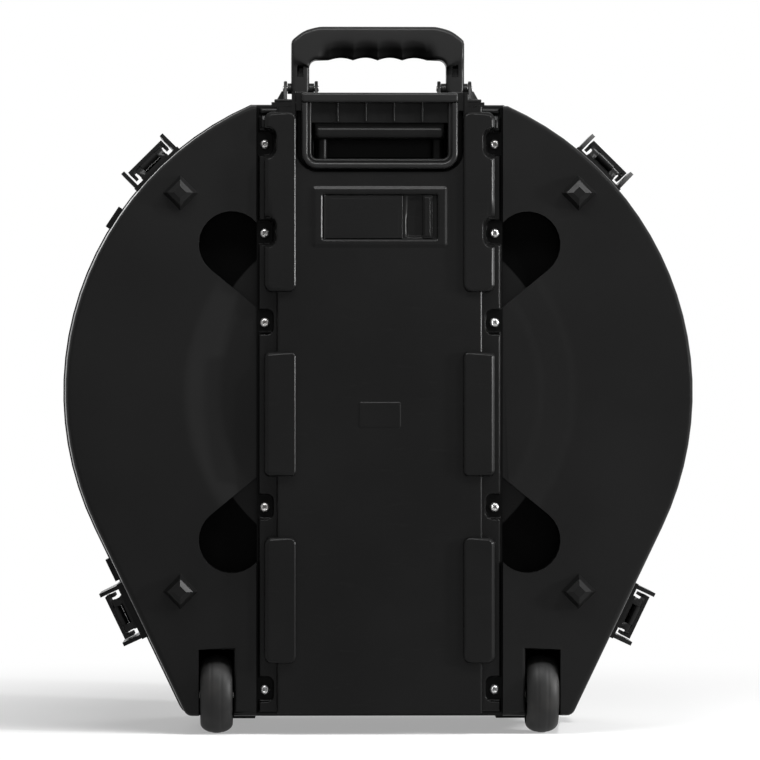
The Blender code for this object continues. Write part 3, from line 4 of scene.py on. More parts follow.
import bmesh
import bpy
import numpy as np
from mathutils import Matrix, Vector

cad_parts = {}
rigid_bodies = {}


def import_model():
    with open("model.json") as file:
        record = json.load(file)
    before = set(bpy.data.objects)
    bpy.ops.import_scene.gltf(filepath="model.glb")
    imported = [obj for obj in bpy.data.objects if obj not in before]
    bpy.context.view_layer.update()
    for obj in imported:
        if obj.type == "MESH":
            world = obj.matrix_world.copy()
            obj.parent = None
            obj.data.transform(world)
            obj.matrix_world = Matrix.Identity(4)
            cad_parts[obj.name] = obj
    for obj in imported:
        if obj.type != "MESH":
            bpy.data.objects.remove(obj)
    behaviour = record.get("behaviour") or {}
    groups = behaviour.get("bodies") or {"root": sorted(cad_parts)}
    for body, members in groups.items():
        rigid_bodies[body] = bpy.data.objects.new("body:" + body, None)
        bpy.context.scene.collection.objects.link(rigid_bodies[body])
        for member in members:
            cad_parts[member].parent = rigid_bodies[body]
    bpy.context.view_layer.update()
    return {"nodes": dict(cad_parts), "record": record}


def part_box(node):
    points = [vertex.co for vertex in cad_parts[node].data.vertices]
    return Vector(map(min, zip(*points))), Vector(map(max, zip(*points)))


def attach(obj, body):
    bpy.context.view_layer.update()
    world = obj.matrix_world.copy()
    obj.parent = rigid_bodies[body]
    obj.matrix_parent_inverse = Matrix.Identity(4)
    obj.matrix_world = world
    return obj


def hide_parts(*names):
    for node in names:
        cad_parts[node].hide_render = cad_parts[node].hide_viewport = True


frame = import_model()
cad = frame["nodes"]
bodies = frame["record"]["behaviour"]["bodies"]
bodyOf = {node: body for body, members in bodies.items() for node in members}
jointOf = {joint["name"]: joint for joint in frame["record"]["behaviour"]["joints"]}
print("frame loaded:", len(cad), "nodes")

# The camera stands 4.5 m behind the case, level with its middle and a little to the left
view = {"place": (-0.090, -4.488, 0.3625), "turn": -0.0207, "lens": 202.2}

camera = bpy.data.objects.new("camera", bpy.data.cameras.new("camera"))
camera.location = view["place"]
camera.rotation_euler = (math.pi / 2, 0, view["turn"])
camera.data.lens = view["lens"]
camera.data.sensor_width = 36
bpy.context.scene.collection.objects.link(camera)
bpy.context.scene.camera = camera
bpy.context.scene.view_settings.view_transform = "Standard"


# Node trees: a Wire is one socket, and arithmetic on it adds Math nodes


class Wire:
    def __init__(self, finish, socket):
        self.finish = finish
        self.socket = socket

    def math(self, operation, *others):
        node = self.finish.tree.nodes.new("ShaderNodeMath")
        node.operation = operation
        for socket, value in zip(node.inputs, (self, *others)):
            self.finish.feed(socket, value)
        return Wire(self.finish, node.outputs[0])

    def __add__(self, other):
        return self.math("ADD", other)

    def __sub__(self, other):
        return self.math("SUBTRACT", other)

    def __mul__(self, other):
        return self.math("MULTIPLY", other)

    def __rsub__(self, other):
        return (self * -1.0) + other

    __radd__ = __add__
    __rmul__ = __mul__

    def ramp(self, low, high):  # 0 below low, 1 above high, smooth between
        return self.finish.add("ShaderNodeMapRange", {"interpolation_type": "SMOOTHSTEP"},
                               {"Value": self, "From Min": low, "From Max": high})


class Finish:
    def __init__(self, name, **values):
        self.material = bpy.data.materials.new(name)
        self.material.use_nodes = True
        self.tree = self.material.node_tree
        self.shader = self.tree.nodes["Principled BSDF"]
        self.values(**values)
        self.place = self.add("ShaderNodeTexCoord", output="Object")

    def values(self, **values):
        for name, value in values.items():
            spaced = "".join(" " + c if c.isupper() else c for c in name).strip()
            self.feed(self.shader.inputs[spaced.replace("I O R", "IOR")], value)

    def feed(self, socket, value):
        if isinstance(value, Wire):
            self.tree.links.new(value.socket, socket)
        else:
            socket.default_value = value

    def add(self, kind, settings=None, sockets=None, output=0):
        node = self.tree.nodes.new(kind)
        for name, value in (settings or {}).items():
            setattr(node, name, value)
        for name, value in (sockets or {}).items():
            self.feed(node.inputs[name], value)
        return Wire(self, node.outputs[output])

    def stretched(self, scale):
        return self.add("ShaderNodeMapping", {"vector_type": "POINT"}, {"Vector": self.place, "Scale": scale})

    def noise(self, scale, detail=2.0, place=None, roughness=0.5):
        return self.add("ShaderNodeTexNoise", None, {"Vector": place or self.place, "Scale": scale,
                                                     "Detail": detail, "Roughness": roughness})

    def cells(self, scale, place=None, feature="F1"):
        return self.add("ShaderNodeTexVoronoi", {"feature": feature}, {"Vector": place or self.place,
                                                                       "Scale": scale})

    def blend(self, share, first, second):
        return self.add("ShaderNodeMix", {"data_type": "RGBA"}, {0: share, 6: first, 7: second}, output=2)

    def darkened(self, share):  # towards a dull near black where light doesn't get in
        hollow = self.tree.nodes.new("ShaderNodeBsdfDiffuse")
        hollow.inputs["Color"].default_value = grey(0.0012)
        mixed = self.tree.nodes.new("ShaderNodeMixShader")
        self.feed(mixed.inputs[0], share)
        for socket, shader in zip(list(mixed.inputs)[1:], (self.shader, hollow)):
            self.tree.links.new(shader.outputs[0], socket)
        self.tree.links.new(mixed.outputs[0], self.tree.nodes["Material Output"].inputs["Surface"])

    def bump(self, height, depth, strength=1.0):
        self.values(Normal=self.add("ShaderNodeBump", None, {"Height": height, "Distance": depth,
                                                             "Strength": strength}))


def grey(level, warm=0.0):
    return (level * (1 + warm), level, level * (1 - warm), 1.0)


# Black plastic as it comes from the mould: fine grain, faint mottling and the odd dull scuff. Where masks are given,
# painted light makes the colour paler and painted shade mixes it towards near black
def mouldedPlastic(name, level, rough, grain=0.00003, specular=0.14, scuff=0.08, shade=None, pale=None):
    finish = Finish(name, SpecularIORLevel=specular)
    mottle = finish.noise(7.0, 4.0)
    pores = finish.noise(1500.0, 2.0)
    orange = finish.noise(260.0, 2.0)
    streak = finish.noise(22.0, 5.0, finish.stretched((1.0, 1.0, 6.0)), 0.65).ramp(0.60, 0.74)
    colour = finish.blend(mottle.ramp(0.3, 0.7), grey(level * 0.88), grey(level * 1.15))
    # painted light: where the mask says, the colour is blended towards twice as pale
    if pale:
        colour = finish.blend(pale(finish), colour, grey(level * 2.0))
    finish.values(
        BaseColor=colour,
        Roughness=rough + (mottle - 0.5) * 0.06 + (pores - 0.5) * 0.08 + streak * scuff,
    )
    finish.bump(pores * 0.6 + orange * 0.8 + streak * 0.15, grain)
    if shade:
        finish.darkened(shade(finish))
    return finish.material


# Where light doesn't get in, 0 to 1, in world metres: the shell's teardrops by their distance from the
# middle of its round, its wheel wells by their sides, and both by their depth behind the face
pockets = {"middle": 0.35, "reach": (0.262, 0.272), "deep": (-0.1250, -0.1150), "teardropEnd": -0.0990,
           "wellX": (0.1465, 0.1885), "wellEnd": -0.0450,
           "wellTop": 0.087, "ring": (0.157, 0.168, 0.194, 0.206), "ringPaintedLight": 0.42}


def along(finish, axis):
    parts = finish.add("ShaderNodeSeparateXYZ", None, {0: finish.place})
    return Wire(finish, parts.socket.node.outputs["XYZ".index(axis)])


def fromMiddle(finish):
    x, up = along(finish, "X"), along(finish, "Z") - pockets["middle"]
    return (x * x + up * up).math("SQRT")


def pocketShade(finish):
    x, z = along(finish, "X").math("ABSOLUTE"), along(finish, "Z")
    within = 1.0 - fromMiddle(finish).ramp(*pockets["reach"])
    within = within * fromMiddle(finish).ramp(pockets["ring"][3] - 0.022, pockets["ring"][3] - 0.020)
    low, high = pockets["wellX"]
    well = x.ramp(low - 0.001, low + 0.001) * (1.0 - x.ramp(high - 0.001, high + 0.001))
    well = well * (1.0 - z.ramp(pockets["wellTop"] - 0.001, pockets["wellTop"] + 0.001))
    y = along(finish, "Y")
    within = within * (1.0 - y.ramp(pockets["teardropEnd"] - 0.001, pockets["teardropEnd"]))
    well = well * (1.0 - y.ramp(pockets["wellEnd"] - 0.001, pockets["wellEnd"]))
    return within.math("MAXIMUM", well) * y.ramp(*pockets["deep"]) * 0.88


# Painted light: the ring where the back's dish slopes is made paler, as if lit, on the back side only
def dishRingPaintedLight(finish):
    low, lowEnd, high, highEnd = pockets["ring"]
    apart = fromMiddle(finish)
    ring = apart.ramp(low, lowEnd) * (1.0 - apart.ramp(high, highEnd))
    return ring * (1.0 - along(finish, "Y").ramp(-0.116, -0.114)) * pockets["ringPaintedLight"]


def behind(low, high, share=1.0):  # shade that deepens from one world y to another
    return lambda finish: along(finish, "Y").ramp(low, high) * share


def fingerShade(finish):  # the hollows under the carry handle
    depth = (along(finish, "Y") + 0.018).math("ABSOLUTE")
    low = 1.0 - along(finish, "Z").ramp(0.7075, 0.7135)
    return (1.0 - depth.ramp(0.0085, 0.0118)) * low * (1.0 - along(finish, "X").math("ABSOLUTE").ramp(0.060, 0.070)) * 0.75


def glancing(finish):  # small fittings stay black at the angles where plastic turns to a mirror
    return finish.add("ShaderNodeLayerWeight", None, {"Blend": 0.5}, output="Facing").ramp(0.60, 0.95) * 0.85


def panelShade(finish):
    moat = along(finish, "Y").ramp(-0.1325, -0.1280) * along(finish, "Z").ramp(0.572, 0.574) * 0.75
    inside = 1.0 - along(finish, "X").math("ABSOLUTE").ramp(0.0850, 0.0865)
    return (moat * inside).math("MAXIMUM", along(finish, "Y").ramp(-0.1250, -0.1228) * 0.70)


finishes = {
    "shell": mouldedPlastic("mouldedShell", 0.0052, 0.29, specular=0.08, shade=pocketShade, pale=dishRingPaintedLight),
    "panel": mouldedPlastic("mouldedPanel", 0.0044, 0.27, specular=0.08, shade=panelShade),
    "dark": mouldedPlastic("mouldedFittings", 0.0045, 0.30, grain=0.00002, specular=0.12, shade=glancing),
    "handle": mouldedPlastic("handlePlastic", 0.0075, 0.34, grain=0.00004, specular=0.12, shade=fingerShade),
    # painted shade: a darker copy of the plastic for the tow grip's board and bars, under its top bar
    "grip": mouldedPlastic("gripPlastic", 0.0035, 0.30, grain=0.00002, specular=0.08),
}


def rubberFinish(name, level, rough):
    finish = Finish(name, SpecularIORLevel=0.18)
    dust = finish.noise(40.0, 5.0)
    skin = finish.noise(900.0, 3.0)
    finish.values(BaseColor=finish.blend(dust.ramp(0.45, 0.8), grey(level), grey(level * 1.8, 0.04)),
                  Roughness=rough + dust * 0.15)
    finish.bump(skin, 0.00005)
    return finish.material


def foamFinish(name, level, scale, depth):
    finish = Finish(name, Roughness=0.95, SpecularIORLevel=0.1, SheenWeight=0.4, SheenRoughness=0.6)
    cells = finish.cells(scale)
    drift = finish.noise(12.0, 4.0)
    finish.values(BaseColor=finish.blend(cells.ramp(0.1, 0.7), grey(level * 0.5), grey(level)),
                  Roughness=0.9 + drift * 0.1)
    finish.bump(cells + drift * 0.6, depth)
    return finish.material


def metalFinish(name, level, rough, grain):
    finish = Finish(name, Metallic=1.0)
    brushed = finish.noise(500.0, 4.0, finish.stretched(grain))
    stain = finish.noise(60.0, 4.0)
    finish.values(BaseColor=finish.blend(stain.ramp(0.35, 0.7), grey(level), grey(level * 0.75, 0.03)),
                  Roughness=rough + brushed * 0.15 + stain * 0.08)
    finish.bump(brushed, 0.00001)
    return finish.material


finishes["rubber"] = rubberFinish("sealRubber", 0.012, 0.55)
finishes["tyre"] = rubberFinish("tyreRubber", 0.010, 0.42)
finishes["foam"] = foamFinish("charcoalFoam", 0.030, 700.0, 0.0006)
finishes["plush"] = foamFinish("shortPlush", 0.022, 1600.0, 0.0004)
finishes["steel"] = metalFinish("zincPlate", 0.36, 0.22, (1.0, 1.0, 1.0))
finishes["pin"] = metalFinish("blackPin", 0.02, 0.35, (1.0, 1.0, 1.0))
finishes["tube"] = mouldedPlastic("blackTube", 0.0018, 0.34, grain=0.00001, specular=0.06)
# The bezel's plastic is paler than the panel's, and painted shade deepens behind the face towards its cup
finishes["cup"] = mouldedPlastic("bezelPlastic", 0.0080, 0.28, shade=behind(-0.1340, -0.1240, 0.70))
print("finishes made:", len(finishes))

slotFinish = {
    "shell_plastic": "shell", "panel_plastic": "panel", "dark_plastic": "dark", "handle_plastic": "handle",
    "rubber": "rubber", "tyre": "tyre", "foam": "foam", "plush": "plush", "steel": "steel",
    "tube_metal": "tube",
}
slotOf = {part["node"]: part["material_slot"] for part in frame["record"]["subparts"]}


def dress(mesh, node, finish=None):
    mesh.materials.clear()
    mesh.materials.append(finishes[finish or slotFinish[slotOf[node]]])


def standIn(piece, *nodes):
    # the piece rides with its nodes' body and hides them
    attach(piece, bodyOf[nodes[0]])
    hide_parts(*nodes)
    return piece


def bevelled(bm, edges, width, steps=1):
    bmesh.ops.bevel(bm, geom=edges, offset=width, offset_type="OFFSET", segments=steps, profile=0.5,
                    affect="EDGES", clamp_overlap=True)


# The back's outer edge is rounded more than the rest, and its bumpers have a broad chamfer round their tips
rearEdge = {"face": -0.1275, "round": 0.0038, "tip": -0.1395, "tipChamfer": 0.0036, "middle": 0.35}


def roundBack(bm):
    edges = []
    for edge in bm.edges:
        if edge.verts[0].co.y > rearEdge["face"] or edge.verts[1].co.y > rearEdge["face"] or not edge.is_convex:
            continue
        middle = (edge.verts[0].co + edge.verts[1].co) / 2
        away = Vector((middle.x, 0, middle.z - rearEdge["middle"])).normalized()
        walls = [f for f in edge.link_faces if abs(f.normal.y) < 0.2 and f.normal.dot(away) > 0.3]
        if len(walls) == 1 and edge.calc_length() > 0.004:
            edges.append(edge)
    bevelled(bm, edges, rearEdge["round"], 4)
    bevelled(bm, [e for e in bm.edges if max(v.co.y for v in e.verts) < rearEdge["tip"]], rearEdge["tipChamfer"])


# A latch base's ears are thick lugs that reach out to the ends of its pin
lug = {"outer": (0.0130, 0.0140), "reach": 0.0180}


def thickLugs(axis):
    place, along = Vector(axis["pos_m"]), Vector(axis["axis"]).normalized()

    def reshape(bm):
        for vert in bm.verts:
            across = (vert.co - place).dot(along)
            if lug["outer"][0] < abs(across) < lug["outer"][1]:
                vert.co += along * (math.copysign(lug["reach"], across) - across)
    return reshape


# A moulded piece is the node's own shape with its long edges rounded, as a mould leaves them
def softened(node, radius, shortest=0.003, steps=2, sharp=30.0, reshape=None):
    bm = bmesh.new()
    bm.from_mesh(cad[node].data)
    bmesh.ops.remove_doubles(bm, verts=bm.verts, dist=0.00001)
    bmesh.ops.dissolve_limit(bm, angle_limit=math.radians(0.6), verts=bm.verts, edges=bm.edges)
    if reshape:
        reshape(bm)
    edges = [e for e in bm.edges if len(e.link_faces) == 2 and e.calc_face_angle(0) > math.radians(sharp)]
    tight = {v for e in edges if e.calc_length() < shortest for v in e.verts}
    chosen = [e for e in edges if not tight.intersection(e.verts)]
    bevelled(bm, chosen, radius, steps)
    mesh = bpy.data.meshes.new(node + "_body")
    bm.to_mesh(mesh)
    bm.free()
    mesh.shade_smooth()
    mesh.set_sharp_from_angle(angle=math.radians(48))
    piece = bpy.data.objects.new(node + "_body", mesh)
    bpy.context.scene.collection.objects.link(piece)
    modifier = piece.modifiers.new("even", "WEIGHTED_NORMAL")
    modifier.keep_sharp = True
    dress(mesh, node)
    return standIn(piece, node)


rounding = {"rear_shell": 0.0014, "front_shell": 0.0014}
reshaping = {"rear_shell": roundBack}
for side in ("left", "right"):
    rounding[f"handle_bracket_{side}"] = 0.0008
    for level in ("upper", "lower"):
        for part, radius in (("base", 0.0005), ("lever", 0.0009), ("trigger", 0.0004), ("keeper", 0.0006)):
            rounding[f"latch_{part}_{level}_{side}"] = radius
        reshaping[f"latch_base_{level}_{side}"] = thickLugs(jointOf[f"latch_{level}_{side}_hinge"])

for node, radius in rounding.items():
    softened(node, radius, reshape=reshaping.get(node))
for node in ("rear_liner", "lid_liner"):
    softened(node, 0.0030, steps=3)


# Shapes are worked out on whole grids of points. A part is (points, blocks of faces), a piece a list of parts


def quads(rows, columns, roundColumns=True, roundRows=False):
    index = np.arange(rows * columns).reshape(rows, columns)
    if roundColumns:
        index = np.concatenate([index, index[:, :1]], axis=1)
    if roundRows:
        index = np.concatenate([index, index[:1]], axis=0)
    return np.stack([index[:-1, :-1], index[:-1, 1:], index[1:, 1:], index[1:, :-1]], axis=-1).reshape(-1, 4)


# Closed rings, one a row, joined in order. The first and last ring are filled, or joined to each other
def sleeve(rings, looped=False, filled=True):
    rows, columns = rings.shape[:2]
    blocks = [quads(rows, columns, roundRows=looped)]
    if filled and not looped:
        ends = np.array([0, rows - 1])[:, None] * columns + np.arange(columns)
        blocks.append(ends)
    return rings.reshape(-1, 3), blocks


# A corner becomes a curve: the square of 1-t from before it, twice t(1-t) of it, the square of t after it
def filleted(corners, radius, steps=3, closed=True):
    corners = np.array(corners, float)
    reach = np.broadcast_to(np.asarray(radius, float), (len(corners),))[:, None]

    def towards(target):
        way = target - corners
        length = np.maximum(np.linalg.norm(way, axis=1, keepdims=True), 1e-9)
        return corners + way * np.minimum(reach / length, 0.5)

    first, last = towards(np.roll(corners, 1, axis=0)), towards(np.roll(corners, -1, axis=0))
    t = np.linspace(0, 1, steps + 1)[None, :, None]
    curve = (1 - t) ** 2 * first[:, None] + 2 * t * (1 - t) * corners[:, None] + t ** 2 * last[:, None]
    curve = curve.reshape(-1, corners.shape[1])
    return curve if closed else np.concatenate([corners[:1], curve[steps + 1:-steps - 1], corners[-1:]])


# A profile of (radius, distance along) turned about a line along one axis through a centre
def turned(profile, centre, axis="X", sides=64, looped=False):
    profile = np.array(profile, float)
    angle = np.linspace(0, 2 * np.pi, sides, endpoint=False)
    radius, along = profile[:, :1], np.repeat(profile[:, 1:], sides, axis=1)
    one, two = radius * np.cos(angle), radius * np.sin(angle)
    order = {"X": (along, one, two), "Y": (one, along, two), "Z": (one, two, along)}[axis]
    return sleeve(np.stack(order, axis=-1) + np.array(centre), looped)


# A box whose faces are drawn in to a smaller core and pushed out from it again by the edge radius
def roundedBox(low, high, radius, steps=2):
    low, high = np.array(low, float), np.array(high, float)
    middle, half = (low + high) / 2, (high - low) / 2
    radius = min(radius, half.min() * 0.98)
    past = radius * np.tan(np.linspace(0, np.pi / 4, steps + 1))
    lines = [np.concatenate([-(h - radius + past[::-1]), h - radius + past]) for h in half]
    parts = []
    for axis in range(3):
        one, two = [k for k in range(3) if k != axis]
        a, b = np.meshgrid(lines[one], lines[two], indexing="ij")
        for side in (-1, 1):
            grid = np.empty(a.shape + (3,))
            grid[..., axis], grid[..., one], grid[..., two] = side * half[axis], a, b
            core = np.clip(grid, radius - half, half - radius)
            away = grid - core
            grid = core + away * (radius / np.linalg.norm(away, axis=-1, keepdims=True))
            parts.append((grid.reshape(-1, 3) + middle, [quads(*a.shape, roundColumns=False)]))
    return parts


def mirrored(parts):
    return [(points * np.array([-1, 1, 1]), blocks) for points, blocks in parts]


# Joins the parts into one piece, merges their seams, turns the faces out and lets it stand for its nodes
def assemble(name, parts, *nodes, sharp=38.0, merge=0.000002, finish=None):
    points, faces, start = [], [], 0
    for corners, blocks in parts:
        points.append(corners)
        for block in blocks:
            faces += (block + start).tolist()
        start += len(corners)
    mesh = bpy.data.meshes.new(name)
    mesh.from_pydata(np.concatenate(points), [], faces)
    bm = bmesh.new()
    bm.from_mesh(mesh)
    bmesh.ops.remove_doubles(bm, verts=bm.verts, dist=merge)
    bmesh.ops.recalc_face_normals(bm, faces=bm.faces)
    bm.to_mesh(mesh)
    bm.free()
    mesh.shade_smooth()
    mesh.set_sharp_from_angle(angle=math.radians(sharp))
    made = bpy.data.objects.new(name, mesh)
    bpy.context.scene.collection.objects.link(made)
    even = made.modifiers.new("even", "WEIGHTED_NORMAL")
    even.keep_sharp = True
    dress(mesh, nodes[0], finish)
    return standIn(made, *nodes)


def limits(node):
    return [np.array(corner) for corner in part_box(node)]


# Screws: a pan head with a square recess, whose depth goes by the larger of the two distances across
screw = {"head": 0.00490, "dome": 0.0030, "square": 0.0023, "deep": 0.0026, "sides": 56}


def buildScrew(node):
    low, high = limits(node)
    middle = (low + high) / 2
    face = low[1] + screw["dome"]
    angle = np.linspace(0, 2 * np.pi, screw["sides"], endpoint=False)[None, :]
    share = np.array([0.001, 0.06, 0.15, 0.26, 0.36, 0.44, 0.50, 0.56, 0.62, 0.68, 0.76, 0.86, 0.94, 0.98, 1.0])
    radius = share[:, None] * screw["head"]
    x, z = radius * np.cos(angle), radius * np.sin(angle)
    crown = screw["dome"] * (1 - 0.80 * share[:, None] ** 3) + 0 * angle
    across = np.maximum(np.abs(x), np.abs(z))
    y = face - crown + screw["deep"] * np.clip(1 - across / screw["square"], 0, 1) ** 0.8
    head = np.stack([x + middle[0], y, z + middle[2]], axis=-1)
    rim = head[-1:] + np.array([0, 1, 0]) * (face - head[-1:, :, 1:2])
    shaft = [(0.0025, 0), (0.0025, high[1] - face - 0.001), (0.0012, high[1] - face)]
    rings = np.concatenate([head, rim])
    return [sleeve(rings), turned(shaft, (middle[0], face, middle[2]), "Y", 24)]


for side in ("left", "right"):
    for k in range(1, 6):
        assemble(f"panelScrew_{side}_{k}", buildScrew(f"panel_screw_{side}_{k}"), f"panel_screw_{side}_{k}")
print("screws: 10")


# The trolley panel is a relief: a height above its flange for each (x, z), in metres
panel = {
    "flange": -0.1223, "back": -0.1193, "half": 0.1257, "foot": 0.0222, "top": 0.6410, "hoodTop": 0.6566,
    "hoodHalf": 0.0900, "openHalf": 0.0728, "openFoot": 0.5815,
    "bodyHalf": 0.1052, "bodyRise": 0.0117, "bodyEdge": (0.0018, 0.0024),
    "padRise": 0.0177, "padX": (0.0850, 0.1180), "padEdge": ((0.0018, 0.0036), (0.0023, 0.0040)),
    "padsZ": ((0.0735, 0.2022), (0.2645, 0.3911), (0.4524, 0.6360)), "padRound": (0.0058, 0.0035, 0.0065),
    "gutter": (0.1238, 0.0232, 0.6318), "gutterRise": 0.0032,
    "screwsZ": (0.0459, 0.2323, 0.4212, 0.5126, 0.6035), "pocketX": 0.1092, "pocketHalf": 0.0122,
    "pocketUp": 0.0008, "pocketRound": 0.0062, "pocketWall": 0.0040,
    "ridges": ((0, 0.0107), (0, 0.0146), (1, 0.0107), (1, 0.0146), (2, 0.0104), (2, 0.0143)),
    "ridgeX": (0.1062, 0.1236), "ridgeRise": 0.0036,
    "moat": (0.0866, 0.5745, 0.0225), "moatDeep": 0.0062, "moatEdge": (0.0012, 0.0016),
    "frame": (0.0695, 0.4975, 0.5604), "frameEdge": (0.0021, 0.0036),
    "card": (-0.0603, 0.0609, 0.5042, 0.5537), "cardDeep": 0.0050, "cardEdge": (0.0015, 0.0020),
    "fingerTop": (0.0262, 0.0442), "fingerFloor": (0.0290, 0.0438), "fingerZ": (0.5084, 0.5460), "fingerDeep": 0.0030,
    "lip": (0.0890, 0.1225, 0.6345, 0.6403, 0.0030), "block": (0.1126, 0.1212, 0.6196, 0.6330, 0.0062),
    "blockSlope": (0.0024, 0.0050),
    "plate": (0.0215, 0.3136, 0.3401), "plateRise": 0.0008,
}


# How far a point is outside a box with round corners, less than 0 inside: corner distance less the radius
def outside(x, z, lowX, highX, lowZ, highZ, radius):
    qx = np.abs(x - (lowX + highX) / 2) - (highX - lowX) / 2 + radius
    qz = np.abs(z - (lowZ + highZ) / 2) - (highZ - lowZ) / 2 + radius
    return np.hypot(np.maximum(qx, 0), np.maximum(qz, 0)) + np.minimum(np.maximum(qx, qz), 0) - radius


# 0 below 0 and 1 above 1, straight between, with the two bends eased over k
def eased(t, k=0.25):
    soft = np.sqrt(t * t + k * k) - np.sqrt((t - 1) ** 2 + k * k)
    return (soft + 1) / 2


# A step of the relief by how far a point is inside its outline: a steep wall, and a chamfer along its top
def stepUp(inside, rise, chamfer):
    fall, run = chamfer
    return eased(inside / 0.0005, 0.2) * (rise - fall * (1 - eased(inside / run, 0.12)))


def stepDown(inside, deep, chamfer):
    fall, run = chamfer
    return fall * eased(inside / run, 0.12) + (deep - fall) * eased((inside - run) / 0.0005, 0.2)


def spread(*spans):
    return np.unique(np.round(np.concatenate([np.linspace(a, b, n) for a, b, n in spans]), 7))


def buildPanel():
    p = panel
    hair = 0.000004
    rightX = spread((0, 0.0165, 4), (0.0195, 0.0298, 22), (0.032, 0.040, 3), (0.0425, 0.0450, 7),
                    (0.048, 0.054, 3), (0.0565, 0.0615, 15), (0.0640, 0.0720, 17), (p["openHalf"], p["openHalf"] + hair, 2),
                    (0.0735, 0.0845, 14), (0.0846, 0.0886, 20), (0.0895, 0.0985, 6), (0.1005, 0.1170, 38),
                    (0.1172, 0.1184, 7), (0.1190, 0.1225, 5), (0.1232, 0.1246, 5), (p["hoodHalf"], p["hoodHalf"] + hair, 2),
                    (p["half"] - 0.0004, p["half"], 2), (p["half"] + hair, p["half"] + hair, 1))
    xs = np.unique(np.concatenate([-rightX, rightX]))
    spans = [(p["foot"] - hair, p["foot"] - hair, 1), (p["foot"], p["foot"] + 0.0025, 6)]
    for low, high in p["padsZ"]:
        spans += [(low - 0.0012, low + 0.0068, 15), (high - 0.0068, high + 0.0012, 15),
                  (low + 0.012, high - 0.012, 8)]
    spans += [(z + p["pocketUp"] - 0.0145, z + p["pocketUp"] + 0.0145, 34) for z in p["screwsZ"]]
    for *_, low, high in (p["frame"], p["card"], p["plate"]):
        spans += [(low - 0.0006, low + 0.0034, 9), (high - 0.0034, high + 0.0006, 9)]
    spans += [(p["moat"][1] - 0.0004, p["openFoot"] - 0.0001, 16), (p["openFoot"], p["openFoot"] + hair, 2),
              (0.5825, 0.6000, 22), (0.6185, 0.6350, 25), (0.6372, p["top"], 9), (p["top"] + hair, p["top"] + hair, 1),
              (p["hoodTop"] - 0.002, p["hoodTop"], 4), (p["hoodTop"] + hair, p["hoodTop"] + hair, 1)]
    zs = spread(*spans)
    x, z = np.meshgrid(xs, zs)
    ax = np.abs(x)

    rise = stepUp(-outside(x, z, -p["bodyHalf"], p["bodyHalf"], p["foot"] - 0.001, 0.70, 0.002), p["bodyRise"],
                  p["bodyEdge"])
    half, low, bend = p["moat"]
    rise = rise - stepDown(-outside(x, z, -half, half, low, 0.70, bend), p["moatDeep"], p["moatEdge"])
    half, low, high = p["gutter"]
    gutter = p["gutterRise"] * eased(-outside(x, z, -half, half, low, high, 0.001) / 0.0012)
    for middle in p["screwsZ"]:
        low, high = middle + p["pocketUp"] - p["pocketHalf"], middle + p["pocketUp"] + p["pocketHalf"]
        away = outside(ax, z, p["pocketX"], 0.16, low, high, p["pocketRound"])
        gutter = np.minimum(gutter, p["gutterRise"] * eased(away / 0.0012, 0.15))
    for k, drop in p["ridges"]:
        middle = p["screwsZ"][k] - drop
        away = outside(ax, z, *p["ridgeX"], middle - 0.0010, middle + 0.0010, 0.0008)
        gutter = np.maximum(gutter, p["ridgeRise"] * eased(-away / 0.0009))
    *sides, high = p["lip"]
    gutter = np.maximum(gutter, stepUp(-outside(ax, z, *sides, 0.0008), high, (0.0011, 0.0022)))
    *sides, high = p["block"]
    fall, run = p["blockSlope"]
    slope = high - fall * (1 - eased((sides[3] - z) / run, 0.1))
    gutter = np.maximum(gutter, slope * eased(-outside(ax, z, *sides, 0.0010) / 0.0005))
    rise = np.where(ax > 0.087, np.maximum(rise, gutter), rise)
    for (low, high), bend in zip(p["padsZ"], p["padRound"]):
        inside = -outside(ax, z, *p["padX"], low - 0.0004, high + 0.0004, bend + 0.0020)
        chamfer = [np.interp(ax, (0.088, 0.112), ends) for ends in p["padEdge"]]
        rise = np.maximum(rise, stepUp(inside, p["padRise"], chamfer))
    for middle in p["screwsZ"][3:]:
        low, high = middle + p["pocketUp"] - p["pocketHalf"], middle + p["pocketUp"] + p["pocketHalf"]
        away = outside(ax, z, p["pocketX"], 0.16, low, high, p["pocketRound"])
        rise = np.minimum(rise, p["padRise"] * eased(away / p["pocketWall"], 0.10))
    half, low, high = p["frame"]
    rise = rise + p["frameEdge"][0] * eased(-outside(x, z, -half, half, low, high, 0.0040) / p["frameEdge"][1], 0.12)
    half, low, high = p["plate"]
    rise = rise + p["plateRise"] * eased(-outside(x, z, -half, half, low, high, 0.0020) / 0.0010)
    rise = rise - stepDown(-outside(x, z, *p["card"], 0.0040), p["cardDeep"], p["cardEdge"])
    top = outside(x, z, *p["fingerTop"], *p["fingerZ"], 0.0030)
    floor = outside(x, z, *p["fingerFloor"], p["fingerZ"][0] + 0.0012, p["fingerZ"][1] - 0.0012, 0.0030)
    rise = rise - p["fingerDeep"] * eased(top / np.minimum(top - floor, -0.0001), 0.15)
    rise = np.maximum(rise, 0)
    y = p["flange"] - rise

    gone = (ax > p["half"]) | (z < p["foot"]) | (z > p["hoodTop"]) | ((ax > p["hoodHalf"]) & (z > p["top"]))
    gone |= (ax <= p["openHalf"]) & (z > p["openFoot"])
    y = np.where(gone, p["back"], y)
    faces = quads(len(zs), len(xs), roundColumns=False)
    faces = faces[~gone.reshape(-1)[faces].all(axis=1)]
    sheet = (np.stack([x, y, z], axis=-1).reshape(-1, 3), [faces])
    low, high = limits("trolley_panel")
    back = high[1]
    inner = p["openHalf"] + 0.0003
    sides = roundedBox((inner, -0.1330, p["top"] - 0.004), (p["hoodHalf"], back, p["hoodTop"]), 0.0012)
    sides += roundedBox((inner, -0.1210, p["top"] - 0.0035), (0.0986, back, p["top"] - 0.0002), 0.0008)
    strip = roundedBox((0.002 - p["hoodHalf"], -0.0925, p["top"] - 0.004), (p["hoodHalf"] - 0.002, back, p["hoodTop"]),
                       0.0012)
    hood = sides + mirrored(sides) + strip
    return [sheet], hood


